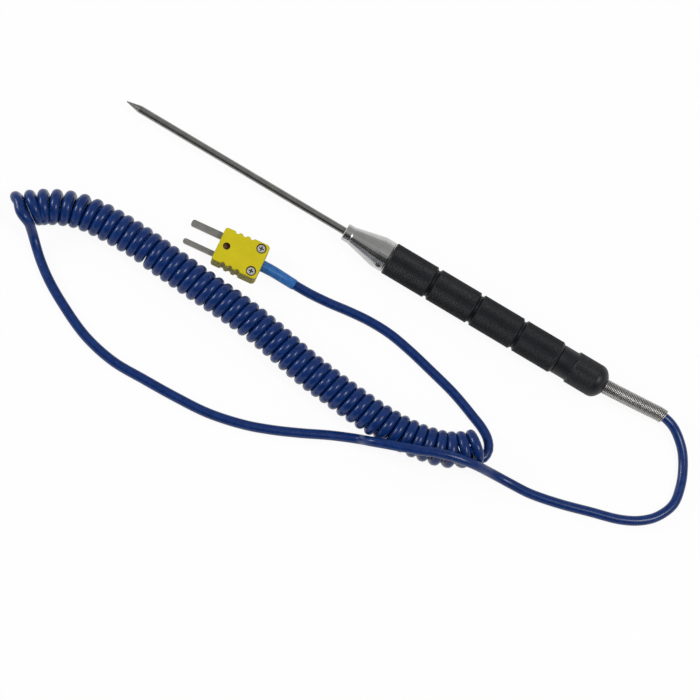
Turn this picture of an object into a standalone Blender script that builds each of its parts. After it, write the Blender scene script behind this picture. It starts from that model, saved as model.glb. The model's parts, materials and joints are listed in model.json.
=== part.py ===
"""A thermocouple penetration probe with a knurled handle, a curly cord and a two-blade miniature plug.

The probe lies along X with its point towards -X and its grip resting on the plane Z = 0.
The cord leaves the tail towards +X, turns back along the -Y side and ends in the plug.
"""
import math

import bmesh
import bpy
from mathutils import Matrix, Vector

MM = 0.001

# Clearances between pieces that seat in or on each other
SEAT = 0.15 * MM
FACE_GAP = 0.2 * MM
CORD_GAP = 0.3 * MM

# Needle sheath: a drawn tube closed to a point
SHEATH_DIAMETER = 3.0 * MM
SHEATH_WALL = 0.35 * MM
SHEATH_OUT = 99.3 * MM
SHEATH_PAST_SPIGOT = 3.5 * MM
POINT_LENGTH = 6.0 * MM
POINT_BLUNT = 0.4 * MM
POINT_SOLID = 3.4 * MM

# Measuring wires and what holds them in the sheath
WIRE_DIAMETER = 0.5 * MM
WIRE_SPACING = 1.1 * MM
BEAD_LENGTH = 1.0 * MM
BEAD_WIDTH = 1.5 * MM
INSULATOR_START = 1.7 * MM
SEAL_LENGTH = 3.0 * MM

# Turned nose
COLLAR_DIAMETER = 7.0 * MM
COLLAR_LENGTH = 3.1 * MM
TAPER_LENGTH = 12.4 * MM
NOSE_DIAMETER = 12.8 * MM
NOSE_CYLINDER = 4.4 * MM
NOSE_EDGE = 0.25 * MM
SPIGOT_DIAMETER = 9.7 * MM
NOSE_SPIGOT_LENGTH = 11.0 * MM

# Grub screw that clamps the sheath, in a radial hole of the nose
SET_SCREW_DIAMETER = 1.9 * MM
SET_SCREW_RECESS = 1.1 * MM
SET_SCREW_SOCKET = 0.9 * MM
SET_SCREW_SOCKET_DEPTH = 1.0 * MM
SET_SCREW_ELEVATION = math.radians(22.0)

# Grip: a turned tube with grooves between its grip lengths
GRIP_DIAMETER = 13.4 * MM
GRIP_LENGTH = 76.5 * MM
GRIP_BORE = 8.6 * MM
GROOVE_PITCH = 19.5 * MM
GROOVE_COUNT = 3
GROOVE_WIDTH = 1.9 * MM
GROOVE_FLOOR = 0.6 * MM
GROOVE_DEPTH = 0.95 * MM
GRIP_FRONT_EDGE = 0.4 * MM
GRIP_REAR_EDGE = 0.95 * MM
GRIP_REAR_DROP = 0.7 * MM

# Tail cap: neck band and rounded tail
NECK_DIAMETER = 12.0 * MM
NECK_LENGTH = 6.1 * MM
TAIL_STRAIGHT = 10.6 * MM
TAIL_EDGE = 0.5 * MM
DOME_LENGTH = 4.25 * MM
MOUTH_RIM = 0.2 * MM
TAIL_SPIGOT_LENGTH = 8.0 * MM
DOME_STEPS = 7

# Strain spring round the cord at the tail
SPRING_DIAMETER = 6.1 * MM
SPRING_WIRE = 0.6 * MM
SPRING_PITCH = 0.67 * MM
SPRING_OUT = 26.6 * MM
SPRING_SEATED = 4.7 * MM
SPRING_SIDES = 5
SPRING_STEPS = 8

# Crimps, cores and clamp inside the handle
FERRULE_DIAMETER = 1.8 * MM
FERRULE_BORE = 0.9 * MM
FERRULE_LENGTH = 7.0 * MM
FERRULE_SPACING = 3.2 * MM
FERRULE_BEHIND_SHEATH = 17.2 * MM
CRIMP_DEPTH = 2.5 * MM
SLEEVING_WALL = 0.3 * MM
SLEEVING_OVERHANG = 1.5 * MM
CORE_DIAMETER = 1.2 * MM
CONDUCTOR_DIAMETER = 0.6 * MM
CORE_SPACING = 1.6 * MM
CORE_SPREAD = 8.0 * MM
CLAMP_DIAMETER = 6.0 * MM
CLAMP_LENGTH = 5.0 * MM
JACKET_PAST_CLAMP = 3.0 * MM

# Cord
CORD_DIAMETER = 3.5 * MM
COIL_DIAMETER = 12.6 * MM
CORD_REST = 0.05 * MM
CORD_STEP = 8.0 * MM
COIL_STEP = 9.0 * MM

# Plug body
PLUG_CENTRE_X = -39.3 * MM
PLUG_CENTRE_Y = -29.6 * MM
PLUG_TURN = math.radians(6.2)
PLUG_LENGTH = 18.9 * MM
PLUG_FRONT_WIDTH = 14.5 * MM
PLUG_REAR_WIDTH = 15.2 * MM
PLUG_HEIGHT = 7.6 * MM
PLUG_SEAM = 0.1 * MM
PLUG_FRONT_CORNER = 1.2 * MM
PLUG_REAR_CORNER = 1.6 * MM
PLUG_EDGE = 0.5 * MM
NOTCH_COUNT = 3
NOTCH_PITCH = 3.05 * MM
NOTCH_RADIUS = 0.95 * MM
NOTCH_DEPTH = 0.75 * MM
NOTCH_CENTRE = -1.4 * MM
NOTCH_STEPS = 6
CORNER_STEPS = 5
EYE_DIAMETER = 2.8 * MM
EYE_FROM_FRONT = 3.3 * MM

# Blades and their clamp screws
BLADE_OUT = 13.0 * MM
BLADE_THICKNESS = 0.8 * MM
BLADE_SPACING = 8.0 * MM
WIDE_BLADE_WIDTH = 2.9 * MM
NARROW_BLADE_WIDTH = 2.2 * MM
BLADE_TIP_RADIUS = 1.0 * MM
FRONT_WALL = 2.3 * MM
TAB_WIDTH = 3.8 * MM
TAB_LENGTH = 6.5 * MM
TAB_SCREW_FROM_END = 2.1 * MM
TERMINAL_HEAD_DIAMETER = 3.4 * MM
TERMINAL_HEAD_HEIGHT = 1.2 * MM
TERMINAL_SHANK_DIAMETER = 2.0 * MM
TERMINAL_SHANK_LENGTH = 3.2 * MM
TERMINAL_SLOT = 0.5 * MM
SCREW_HOLE_END = 0.4 * MM
HEAD_ROOM = 0.3 * MM
CHAMBER_REACH = 1.7 * MM
WIRE_WAY_WIDTH = 6.4 * MM
WIRE_WAY_LENGTH = 5.1 * MM
WIRE_WAY_DEPTH = 1.0 * MM

# Cover screws
COVER_SCREW_FROM_REAR = 3.0 * MM
COVER_SCREW_SPACING = 10.0 * MM
COVER_HEAD_DIAMETER = 3.5 * MM
COVER_HEAD_HEIGHT = 0.9 * MM
COVER_RECESS_WALL = 0.2 * MM
COVER_RECESS_DEPTH = 1.1 * MM
COVER_SHANK_DIAMETER = 1.9 * MM
COVER_SHANK_LENGTH = 4.8 * MM
CROSS_WIDTH = 0.5 * MM
CROSS_LENGTH = 2.0 * MM
CROSS_DEPTH = 0.5 * MM

# Shrink sleeve and cord entry of the plug
SLEEVE_DIAMETER = 4.7 * MM
SLEEVE_END_DIAMETER = 4.25 * MM
SLEEVE_OUT = 14.7 * MM
SLEEVE_DRIFT = 1.0 * MM
SLEEVE_IN_PLUG = 1.5 * MM
JACKET_IN_PLUG = 4.3 * MM

TURNED_SEGMENTS = 40
SMALL_SEGMENTS = 16

# Heights and stations along X, measured from the point
AXIS_Z = GRIP_DIAMETER / 2
NOSE_LENGTH = COLLAR_LENGTH + TAPER_LENGTH + NOSE_CYLINDER
TAIL_LENGTH = NECK_LENGTH + TAIL_STRAIGHT + DOME_LENGTH
PROBE_LENGTH = SHEATH_OUT + NOSE_LENGTH + FACE_GAP + GRIP_LENGTH + FACE_GAP + TAIL_LENGTH
POINT_X = -PROBE_LENGTH / 2
NOSE_X = POINT_X + SHEATH_OUT
NOSE_REAR_X = NOSE_X + NOSE_LENGTH
GRIP_X = NOSE_REAR_X + FACE_GAP
GRIP_REAR_X = GRIP_X + GRIP_LENGTH
TAIL_X = GRIP_REAR_X + FACE_GAP
MOUTH_X = TAIL_X + TAIL_LENGTH
SHEATH_END_X = NOSE_REAR_X + NOSE_SPIGOT_LENGTH + SHEATH_PAST_SPIGOT
SPIGOT_BORE = SPIGOT_DIAMETER + 2 * SEAT
CORD_BORE = CORD_DIAMETER + 2 * SEAT
CORD_Z = CORD_DIAMETER / 2 + CORD_REST
COIL_Z = COIL_DIAMETER / 2 + CORD_REST

# Free route of the lead from the strain spring to the coil, as X, Y and height above the cord's rest, in mm
LEAD_ROUTE = (
    (138.6, 1.2, 3.4), (142.2, -0.2, 2.1), (147.7, -4.9, 0.6), (151.4, -10.9, 0), (153.9, -17.8, 0),
    (154.6, -25.7, 0), (151.6, -33.3, 0), (146.5, -38.2, 0), (139.4, -41.9, 0), (127.9, -45.5, 0),
    (116.1, -48.9, 0), (104.1, -51.7, 0), (95.5, -52.2, 0.1), (91.1, -52.8, 0.9), (86.4, -53.7, 3.3),
    (81.9, -54.8, 6.6), (78.5, -55.9, 9.3), (74.2, -57.1, 11.1), (70.2, -58.2, 11.8), (66.0, -59.5, 12.0),
    (62.5, -60.7, 11.9), (58.8, -62.3, 11.4), (55.2, -63.5, 10.8), (51.5, -64.7, 9.9), (47.7, -65.8, 8.7),
    (43.9, -66.8, 6.6), (40.6, -67.5, 4.0), (36.9, -68.4, 1.6), (33.2, -69.3, 0.3), (26.1, -72.3, 0),
    (15.8, -77.7, 0), (5.3, -82.6, 0), (-4.5, -86.3, 0), (-18.2, -89.5, 0), (-32.0, -90.5, 0),
    (-45.6, -91.0, 0), (-59.3, -91.2, 0), (-73.2, -88.3, 0), (-87.1, -82.3, 0), (-96.5, -76.9, 0),
    (-102.6, -72.8, 0.3),
)

# Axis of the curly part, from its left end to its right end, as X and Y in mm
COIL_ROUTE = (
    (-121.7, -59.8), (-116.3, -55.6), (-110.9, -52.1), (-101.9, -48.3), (-92.6, -46.7), (-83.4, -46.3),
    (-74.2, -46.4), (-64.9, -47.3), (-55.7, -48.0), (-46.4, -48.7), (-37.2, -49.3), (-28.0, -50.0),
    (-18.7, -51.1), (-9.5, -52.6), (-0.2, -54.5), (9.0, -56.0), (18.2, -57.0), (27.5, -57.9),
    (36.6, -58.5), (44.5, -58.6), (51.2, -58.2), (58.7, -57.3), (66.2, -55.3), (71.9, -52.2), (76.1, -48.6),
)

# Free route of the plug's lead along the surface, from the shrink sleeve to the coil, as X and Y in mm
PLUG_ROUTE = (
    (-8.5, -27.7), (0.1, -26.9), (8.4, -25.7), (17.1, -24.9), (26.3, -25.2), (36.3, -26.8),
    (46.8, -29.4), (57.2, -31.9), (64.5, -34.5), (70.0, -36.7), (75.0, -39.2), (79.2, -41.5),
    (81.5, -43.5), (81.7, -45.6), (80.4, -47.1),
)
LEAD_MEETS_COIL = 7.5 * MM
PLUG_LEAD_OFFSET = 1.5 * MM


def clear_scene():
    """Remove every object that is already in the scene."""
    for item in list(bpy.data.objects):
        bpy.data.objects.remove(item, do_unlink=True)


def finish(name, colour, roughness, metallic=0.0):
    """A Principled material with a plain colour."""
    material = bpy.data.materials.new(name)
    material.use_nodes = True
    shader = material.node_tree.nodes["Principled BSDF"]
    shader.inputs["Base Color"].default_value = (*colour, 1.0)
    shader.inputs["Roughness"].default_value = roughness
    shader.inputs["Metallic"].default_value = metallic
    return material


def place(name, data, material, smooth_angle=35.0):
    """Link a mesh or curve as an object with its material."""
    item = bpy.data.objects.new(name, data)
    bpy.context.scene.collection.objects.link(item)
    data.materials.append(material)
    if isinstance(data, bpy.types.Mesh):
        data.shade_smooth()
        data.set_sharp_from_angle(angle=math.radians(smooth_angle))
    return item


def mesh_from(name, bm):
    """Turn a bmesh into a mesh with all faces pointing out."""
    bmesh.ops.recalc_face_normals(bm, faces=bm.faces)
    mesh = bpy.data.meshes.new(name)
    bm.to_mesh(mesh)
    bm.free()
    return mesh


def turned(name, outline, material, closed, segments=TURNED_SEGMENTS, y=0.0):
    """Revolve an outline of (X, radius) points about the probe's axis, shifted sideways by y."""
    bm = bmesh.new()
    verts = [bm.verts.new((x, radius, 0.0)) for x, radius in outline]
    edges = [bm.edges.new(pair) for pair in zip(verts, verts[1:])]
    if closed:
        edges.append(bm.edges.new((verts[-1], verts[0])))
    bmesh.ops.spin(
        bm, geom=verts + edges, cent=(0, 0, 0), axis=(1, 0, 0), angle=2 * math.pi, steps=segments,
        use_merge=True, use_duplicate=False,
    )
    bmesh.ops.remove_doubles(bm, verts=bm.verts, dist=1e-7)
    item = place(name, mesh_from(name, bm), material)
    item.location = (0.0, y, AXIS_Z)
    return item


def smooth_curve(points, step=0.5 * MM):
    """Centripetal Catmull-Rom curve through the points, as a dense list of points."""
    ends = [2 * points[0] - points[1], *points, 2 * points[-1] - points[-2]]
    dense = []
    for p0, p1, p2, p3 in zip(ends, ends[1:], ends[2:], ends[3:]):
        t0 = 0.0
        t1 = t0 + math.sqrt((p1 - p0).length)
        t2 = t1 + math.sqrt((p2 - p1).length)
        t3 = t2 + math.sqrt((p3 - p2).length)
        count = max(2, round((p2 - p1).length / step))
        for index in range(count):
            t = t1 + (t2 - t1) * index / count
            a1 = p0.lerp(p1, (t - t0) / (t1 - t0))
            a2 = p1.lerp(p2, (t - t1) / (t2 - t1))
            a3 = p2.lerp(p3, (t - t2) / (t3 - t2))
            b1 = a1.lerp(a2, (t - t0) / (t2 - t0))
            b2 = a2.lerp(a3, (t - t1) / (t3 - t1))
            dense.append(b1.lerp(b2, (t - t1) / (t2 - t1)))
    dense.append(points[-1].copy())
    return dense


def lengths_along(points):
    """Distance from the first point to each point of a polyline."""
    total = [0.0]
    for a, b in zip(points, points[1:]):
        total.append(total[-1] + (b - a).length)
    return total


def point_at(points, totals, distance):
    """Point of a polyline at a distance from its start."""
    distance = min(max(distance, 0.0), totals[-1])
    index = 0
    low, high = 0, len(totals) - 1
    while high - low > 1:
        index = (low + high) // 2
        if totals[index] <= distance:
            low = index
        else:
            high = index
    span = totals[high] - totals[low]
    return points[low].lerp(points[high], (distance - totals[low]) / span)


def evenly(points, step, start=0.0, end=None):
    """Points of a polyline at even distances between two distances along it."""
    totals = lengths_along(points)
    if end is None:
        end = totals[-1]
    count = max(2, round((end - start) / step))
    return [point_at(points, totals, start + (end - start) * i / count) for i in range(count + 1)]


def tube(name, points, diameter, material, sides_level=2, radii=None):
    """A round cord or wire: a poly spline with a bevel and filled ends."""
    curve = bpy.data.curves.new(name, "CURVE")
    curve.dimensions = "3D"
    curve.bevel_depth = diameter / 2
    curve.bevel_resolution = sides_level
    curve.use_fill_caps = True
    spline = curve.splines.new("POLY")
    spline.points.add(len(points) - 1)
    for index, point in enumerate(points):
        spline.points[index].co = (*point, 1.0)
        spline.points[index].radius = 1.0 if radii is None else radii[index]
    return place(name, curve, material)


def ring_frame(points, index):
    """Sideways and upward directions square to a path that lies roughly level."""
    before = points[max(index - 1, 0)]
    after = points[min(index + 1, len(points) - 1)]
    along = (after - before).normalized()
    side = along.cross(Vector((0, 0, 1))).normalized()
    return along, side, side.cross(along)


def swept_pipe(name, points, outer_radii, inner_radius, material, sides=SMALL_SEGMENTS):
    """An open pipe along a path, with one outer radius for each point."""
    bm = bmesh.new()
    walls = []
    for radii in (outer_radii, [inner_radius] * len(points)):
        rings = []
        for index, centre in enumerate(points):
            _, side, up = ring_frame(points, index)
            ring = []
            for k in range(sides):
                angle = 2 * math.pi * k / sides
                offset = side * math.cos(angle) + up * math.sin(angle)
                ring.append(bm.verts.new(centre + offset * radii[index]))
            rings.append(ring)
        walls.append(rings)
    for rings in walls:
        for ring, following in zip(rings, rings[1:]):
            for k in range(sides):
                n = (k + 1) % sides
                bm.faces.new((ring[k], ring[n], following[n], following[k]))
    for end in (0, -1):
        outer, inner = walls[0][end], walls[1][end]
        for k in range(sides):
            n = (k + 1) % sides
            bm.faces.new((outer[k], outer[n], inner[n], inner[k]))
    return place(name, mesh_from(name, bm), material)


def helix_wire(name, axis_points, diameter, wire, pitch, material):
    """A wire wound as a helix round a gently bent axis."""
    totals = lengths_along(axis_points)
    turns = int((totals[-1] - wire) / pitch)
    count = turns * SPRING_STEPS
    radius = (diameter - wire) / 2
    first = (totals[-1] - turns * pitch) / 2
    bm = bmesh.new()
    rings = []
    for index in range(count + 1):
        distance = first + pitch * index / SPRING_STEPS
        centre = point_at(axis_points, totals, distance)
        ahead = point_at(axis_points, totals, distance + wire)
        behind = point_at(axis_points, totals, distance - wire)
        along = (ahead - behind).normalized()
        side = along.cross(Vector((0, 0, 1))).normalized()
        up = side.cross(along)
        angle = 2 * math.pi * index / SPRING_STEPS
        outward = side * math.cos(angle) + up * math.sin(angle)
        ring = []
        for k in range(SPRING_SIDES):
            turn = 2 * math.pi * k / SPRING_SIDES
            offset = outward * math.cos(turn) + along * math.sin(turn)
            ring.append(bm.verts.new(centre + outward * radius + offset * (wire / 2)))
        rings.append(ring)
    for ring, following in zip(rings, rings[1:]):
        for k in range(SPRING_SIDES):
            n = (k + 1) % SPRING_SIDES
            bm.faces.new((ring[k], ring[n], following[n], following[k]))
    bm.faces.new(rings[0])
    bm.faces.new(rings[-1])
    return place(name, mesh_from(name, bm), material)


def cylinder_mesh(name, diameter, low, high, segments=SMALL_SEGMENTS):
    """A cylinder along local Z between two heights."""
    bm = bmesh.new()
    bmesh.ops.create_cone(
        bm, cap_ends=True, segments=segments, radius1=diameter / 2, radius2=diameter / 2, depth=high - low,
    )
    bmesh.ops.translate(bm, verts=bm.verts, vec=(0, 0, (low + high) / 2))
    return mesh_from(name, bm)


def box_mesh(name, low, high):
    """A box between two corners."""
    bm = bmesh.new()
    bmesh.ops.create_cube(bm, size=1.0)
    for vert in bm.verts:
        vert.co = Vector([a + (b - a) * (t + 0.5) for a, b, t in zip(low, high, vert.co)])
    return mesh_from(name, bm)


def cutter(name, mesh, matrix=None, parent=None):
    """A helper solid that only shapes other pieces."""
    item = bpy.data.objects.new(name, mesh)
    bpy.context.scene.collection.objects.link(item)
    item.hide_render = True
    item.display_type = "WIRE"
    if matrix is not None:
        item.matrix_world = matrix
    item.parent = parent
    return item


def cut(item, *tools):
    """Subtract each helper solid from the item."""
    for tool in tools:
        step = item.modifiers.new(tool.name, "BOOLEAN")
        step.operation = "DIFFERENCE"
        step.solver = "EXACT"
        step.object = tool


def make_finishes():
    """The materials of all the pieces."""
    return {
        "sheath_steel": finish("sheath_steel", (0.46, 0.45, 0.44), 0.32, 1.0),
        "nose_chrome": finish("nose_chrome", (0.62, 0.62, 0.62), 0.16, 1.0),
        "grip_black": finish("grip_black", (0.022, 0.023, 0.026), 0.42, 0.2),
        "screw_steel": finish("screw_steel", (0.5, 0.48, 0.46), 0.3, 1.0),
        "spring_steel": finish("spring_steel", (0.55, 0.53, 0.50), 0.25, 1.0),
        "cord_blue": finish("cord_blue", (0.012, 0.038, 0.23), 0.38),
        "sleeve_blue": finish("sleeve_blue", (0.035, 0.16, 0.44), 0.45),
        "plug_yellow": finish("plug_yellow", (0.60, 0.50, 0.015), 0.45),
        "blade_alloy": finish("blade_alloy", (0.42, 0.41, 0.38), 0.38, 1.0),
        "ceramic_white": finish("ceramic_white", (0.75, 0.73, 0.68), 0.7),
        "resin_amber": finish("resin_amber", (0.35, 0.17, 0.04), 0.35),
        "wire_alloy": finish("wire_alloy", (0.50, 0.47, 0.42), 0.35, 1.0),
        "crimp_copper": finish("crimp_copper", (0.62, 0.58, 0.52), 0.35, 1.0),
        "core_yellow": finish("core_yellow", (0.62, 0.50, 0.03), 0.5),
        "core_red": finish("core_red", (0.50, 0.03, 0.02), 0.5),
        "sleeving_clear": finish("sleeving_clear", (0.55, 0.55, 0.52), 0.4),
    }


def build_sheath(finishes):
    """The pointed tube, open at its rear end."""
    radius = SHEATH_DIAMETER / 2
    bore = radius - SHEATH_WALL
    slope = (radius - POINT_BLUNT / 2) / POINT_LENGTH
    inside_x = POINT_X + POINT_SOLID
    inside_radius = POINT_BLUNT / 2 + slope * POINT_SOLID - SHEATH_WALL
    bore_start = inside_x + (bore - inside_radius) / slope
    outline = [
        (POINT_X, 0.0),
        (POINT_X + POINT_BLUNT / 4, POINT_BLUNT / 2),
        (POINT_X + POINT_LENGTH, radius),
        (SHEATH_END_X, radius),
        (SHEATH_END_X, bore),
        (bore_start, bore),
        (inside_x, inside_radius),
        (inside_x, 0.0),
    ]
    return turned("needle_sheath", outline, finishes["sheath_steel"], False, 24)


def along_x(x, y, z):
    """Matrix that turns local Z along world X and moves it to a point."""
    return Matrix.Translation((x, y, z)) @ Matrix.Rotation(math.pi / 2, 4, "Y")


def build_sheath_filling(finishes):
    """Insulator, wires, welded bead and rear seal inside the sheath."""
    filling = SHEATH_DIAMETER / 2 - SHEATH_WALL - SEAT
    seal_end = SHEATH_END_X - FACE_GAP
    seal_start = seal_end - SEAL_LENGTH
    bead_x = POINT_X + POINT_SOLID + FACE_GAP + BEAD_LENGTH / 2 + SHEATH_WALL
    insulator_start = bead_x + INSULATOR_START
    bore_diameter = WIRE_DIAMETER + SEAT
    bores = []
    for sign, label in ((1, "positive"), (-1, "negative")):
        length = seal_end - insulator_start + 2 * SEAL_LENGTH
        mesh = cylinder_mesh(f"{label}_bore", bore_diameter, 0.0, length, 12)
        middle = along_x(insulator_start - SEAL_LENGTH, sign * WIRE_SPACING / 2, AXIS_Z)
        bores.append(cutter(f"{label}_bore", mesh, middle))
    for name, start, end, material in (
        ("insulator_rod", insulator_start, seal_start - FACE_GAP, "ceramic_white"),
        ("sheath_end_seal", seal_start, seal_end, "resin_amber"),
    ):
        outline = [(start, 0.0), (start, filling), (end, filling), (end, 0.0)]
        rod = turned(name, outline, finishes[material], False, 20)
        cut(rod, *bores)
    ferrule_x = SHEATH_END_X + FERRULE_BEHIND_SHEATH
    for sign, label in ((1, "positive"), (-1, "negative")):
        near = sign * WIRE_SPACING / 2
        far = sign * FERRULE_SPACING / 2
        edge = math.sqrt(1 - (WIRE_SPACING / BEAD_WIDTH) ** 2)
        start = bead_x + BEAD_LENGTH / 2 * edge + FACE_GAP / 2
        points = [
            Vector((start, near, AXIS_Z)),
            Vector((SHEATH_END_X + SEAL_LENGTH / 2, near, AXIS_Z)),
            Vector((ferrule_x - SEAL_LENGTH, far, AXIS_Z)),
            Vector((ferrule_x + CRIMP_DEPTH, far, AXIS_Z)),
        ]
        tube(f"{label}_wire", points, WIRE_DIAMETER, finishes["wire_alloy"])
    steps = 8
    outline = []
    for index in range(steps + 1):
        angle = math.pi * index / steps
        x = bead_x - math.cos(angle) * BEAD_LENGTH / 2
        outline.append((x, max(0.0, math.sin(angle)) * BEAD_WIDTH / 2 if 0 < index < steps else 0.0))
    turned("junction_bead", outline, finishes["wire_alloy"], False, SMALL_SEGMENTS)


def build_nose(finishes):
    """The turned nose with its bore and the radial screw hole."""
    bore = SHEATH_DIAMETER / 2 + SEAT
    collar = COLLAR_DIAMETER / 2
    radius = NOSE_DIAMETER / 2
    spigot = SPIGOT_DIAMETER / 2
    taper_x = NOSE_X + COLLAR_LENGTH
    cylinder_x = taper_x + TAPER_LENGTH
    spigot_end = NOSE_REAR_X + NOSE_SPIGOT_LENGTH
    outline = [
        (NOSE_X, bore),
        (NOSE_X, collar - NOSE_EDGE),
        (NOSE_X + NOSE_EDGE, collar),
        (taper_x, collar),
        (taper_x + NOSE_EDGE, collar + NOSE_EDGE / 2),
        (cylinder_x - TAPER_LENGTH / 8, radius - (radius - collar) / 9),
        (cylinder_x, radius),
        (NOSE_REAR_X - NOSE_EDGE, radius),
        (NOSE_REAR_X, radius - NOSE_EDGE),
        (NOSE_REAR_X, spigot),
        (spigot_end - NOSE_EDGE, spigot),
        (spigot_end, spigot - NOSE_EDGE),
        (spigot_end, bore),
    ]
    nose = turned("nose_cone", outline, finishes["nose_chrome"], True)
    centre = Vector((cylinder_x + NOSE_CYLINDER / 2, 0.0, AXIS_Z))
    outward = Matrix.Rotation(math.pi / 2 - SET_SCREW_ELEVATION, 4, "X")
    frame = Matrix.Translation(centre) @ outward
    hole = cylinder_mesh("set_screw_hole", SET_SCREW_DIAMETER + 2 * SEAT, 0.0, NOSE_DIAMETER)
    cut(nose, cutter("set_screw_hole", hole, frame))
    foot = bore + SEAT
    head = radius - SET_SCREW_RECESS
    body = cylinder_mesh("nose_set_screw", SET_SCREW_DIAMETER, foot, head)
    screw = place("nose_set_screw", body, finishes["screw_steel"])
    screw.matrix_world = frame
    across_corners = SET_SCREW_SOCKET / math.cos(math.pi / 6)
    key = cylinder_mesh("set_screw_socket", across_corners, head - SET_SCREW_SOCKET_DEPTH, head + foot, 6)
    cut(screw, cutter("set_screw_socket", key, frame))


def build_grip(finishes):
    """The knurled tube with a stepped bore and its turned grooves."""
    radius = GRIP_DIAMETER / 2
    bore = GRIP_BORE / 2
    counterbore = SPIGOT_BORE / 2
    front_step = NOSE_REAR_X + NOSE_SPIGOT_LENGTH + FACE_GAP
    rear_step = TAIL_X - TAIL_SPIGOT_LENGTH - FACE_GAP
    outline = [
        (GRIP_X, counterbore),
        (GRIP_X, radius - GRIP_FRONT_EDGE),
        (GRIP_X + GRIP_FRONT_EDGE, radius),
    ]
    for index in range(GROOVE_COUNT):
        middle = GRIP_X + GROOVE_PITCH * (index + 1)
        floor = radius - GROOVE_DEPTH
        outline += [
            (middle - GROOVE_WIDTH / 2, radius),
            (middle - GROOVE_FLOOR / 2, floor),
            (middle + GROOVE_FLOOR / 2, floor),
            (middle + GROOVE_WIDTH / 2, radius),
        ]
    outline += [
        (GRIP_REAR_X - GRIP_REAR_EDGE, radius),
        (GRIP_REAR_X - GRIP_REAR_EDGE / 3, radius - GRIP_REAR_DROP / 2),
        (GRIP_REAR_X, radius - GRIP_REAR_DROP),
        (GRIP_REAR_X, counterbore),
        (rear_step, counterbore),
        (rear_step, bore),
        (front_step, bore),
        (front_step, counterbore),
    ]
    return turned("grip_tube", outline, finishes["grip_black"], True)


def build_tail(finishes):
    """Neck band and rounded tail, with a spigot in the grip and seats for the cord and its spring."""
    neck = NECK_DIAMETER / 2
    radius = GRIP_DIAMETER / 2
    spigot = SPIGOT_DIAMETER / 2
    cord = CORD_BORE / 2
    spring_seat = SPRING_DIAMETER / 2 + SEAT
    mouth = spring_seat + MOUTH_RIM
    dome_x = MOUTH_X - DOME_LENGTH
    reach = DOME_LENGTH / math.sqrt(1 - (mouth / radius) ** 2)
    outline = [
        (TAIL_X - TAIL_SPIGOT_LENGTH, cord),
        (TAIL_X - TAIL_SPIGOT_LENGTH, spigot - TAIL_EDGE),
        (TAIL_X - TAIL_SPIGOT_LENGTH + TAIL_EDGE, spigot),
        (TAIL_X, spigot),
        (TAIL_X, neck),
        (TAIL_X + NECK_LENGTH, neck),
        (TAIL_X + NECK_LENGTH + TAIL_EDGE, radius),
    ]
    for index in range(DOME_STEPS + 1):
        x = DOME_LENGTH * math.sin(math.pi / 2 * index / DOME_STEPS)
        outline.append((dome_x + x, radius * math.sqrt(1 - (x / reach) ** 2)))
    seat_x = MOUTH_X - SPRING_SEATED - FACE_GAP
    outline += [(MOUTH_X, spring_seat), (seat_x, spring_seat), (seat_x, cord)]
    return turned("tail_cap", outline, finishes["grip_black"], True)


def build_joint_inside_grip(finishes):
    """Crimp barrels, their insulation, the cord's cores and the clamp ring on the jacket."""
    ferrule_x = SHEATH_END_X + FERRULE_BEHIND_SHEATH
    ferrule_end = ferrule_x + FERRULE_LENGTH
    clamp_end = TAIL_X - TAIL_SPIGOT_LENGTH - FACE_GAP
    clamp_x = clamp_end - CLAMP_LENGTH
    jacket_x = clamp_x - JACKET_PAST_CLAMP
    outer = FERRULE_DIAMETER / 2
    inner = FERRULE_BORE / 2
    wrap = outer + SEAT
    thinned = CONDUCTOR_DIAMETER / CORE_DIAMETER
    for sign, label, colour in ((1, "positive", "core_yellow"), (-1, "negative", "core_red")):
        side = sign * FERRULE_SPACING / 2
        barrel = [(ferrule_x, inner), (ferrule_x, outer), (ferrule_end, outer), (ferrule_end, inner)]
        turned(f"{label}_ferrule", barrel, finishes["crimp_copper"], True, SMALL_SEGMENTS, side)
        start = ferrule_x - SLEEVING_OVERHANG
        end = ferrule_end + SLEEVING_OVERHANG
        sleeve = [(start, wrap), (start, wrap + SLEEVING_WALL), (end, wrap + SLEEVING_WALL), (end, wrap)]
        turned(f"{label}_sleeving", sleeve, finishes["sleeving_clear"], True, SMALL_SEGMENTS, side)
        points = [
            Vector((ferrule_end - CRIMP_DEPTH, side, AXIS_Z)),
            Vector((ferrule_end + FACE_GAP, side, AXIS_Z)),
            Vector((ferrule_end + 2 * FACE_GAP, side, AXIS_Z)),
            Vector((end + FACE_GAP, side, AXIS_Z)),
            Vector((jacket_x - CORE_SPREAD / 4, sign * CORE_SPACING / 2, AXIS_Z)),
            Vector((jacket_x - FACE_GAP, sign * CORE_SPACING / 2, AXIS_Z)),
        ]
        radii = [thinned, thinned, 1.0, 1.0, 1.0, 1.0]
        tube(f"{label}_core", points, CORE_DIAMETER, finishes[colour], 2, radii)
    bore = CORD_BORE / 2
    edge = CLAMP_DIAMETER / 2
    ring = [
        (clamp_x, bore),
        (clamp_x, edge),
        (clamp_x + CLAMP_LENGTH / 5, edge),
        (clamp_x + CLAMP_LENGTH * 2 / 5, edge - SEAT * 2),
        (clamp_x + CLAMP_LENGTH * 3 / 5, edge - SEAT * 2),
        (clamp_x + CLAMP_LENGTH * 4 / 5, edge),
        (clamp_end, edge),
        (clamp_end, bore),
    ]
    turned("cord_clamp_ring", ring, finishes["crimp_copper"], True, 24)
    return jacket_x


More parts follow.
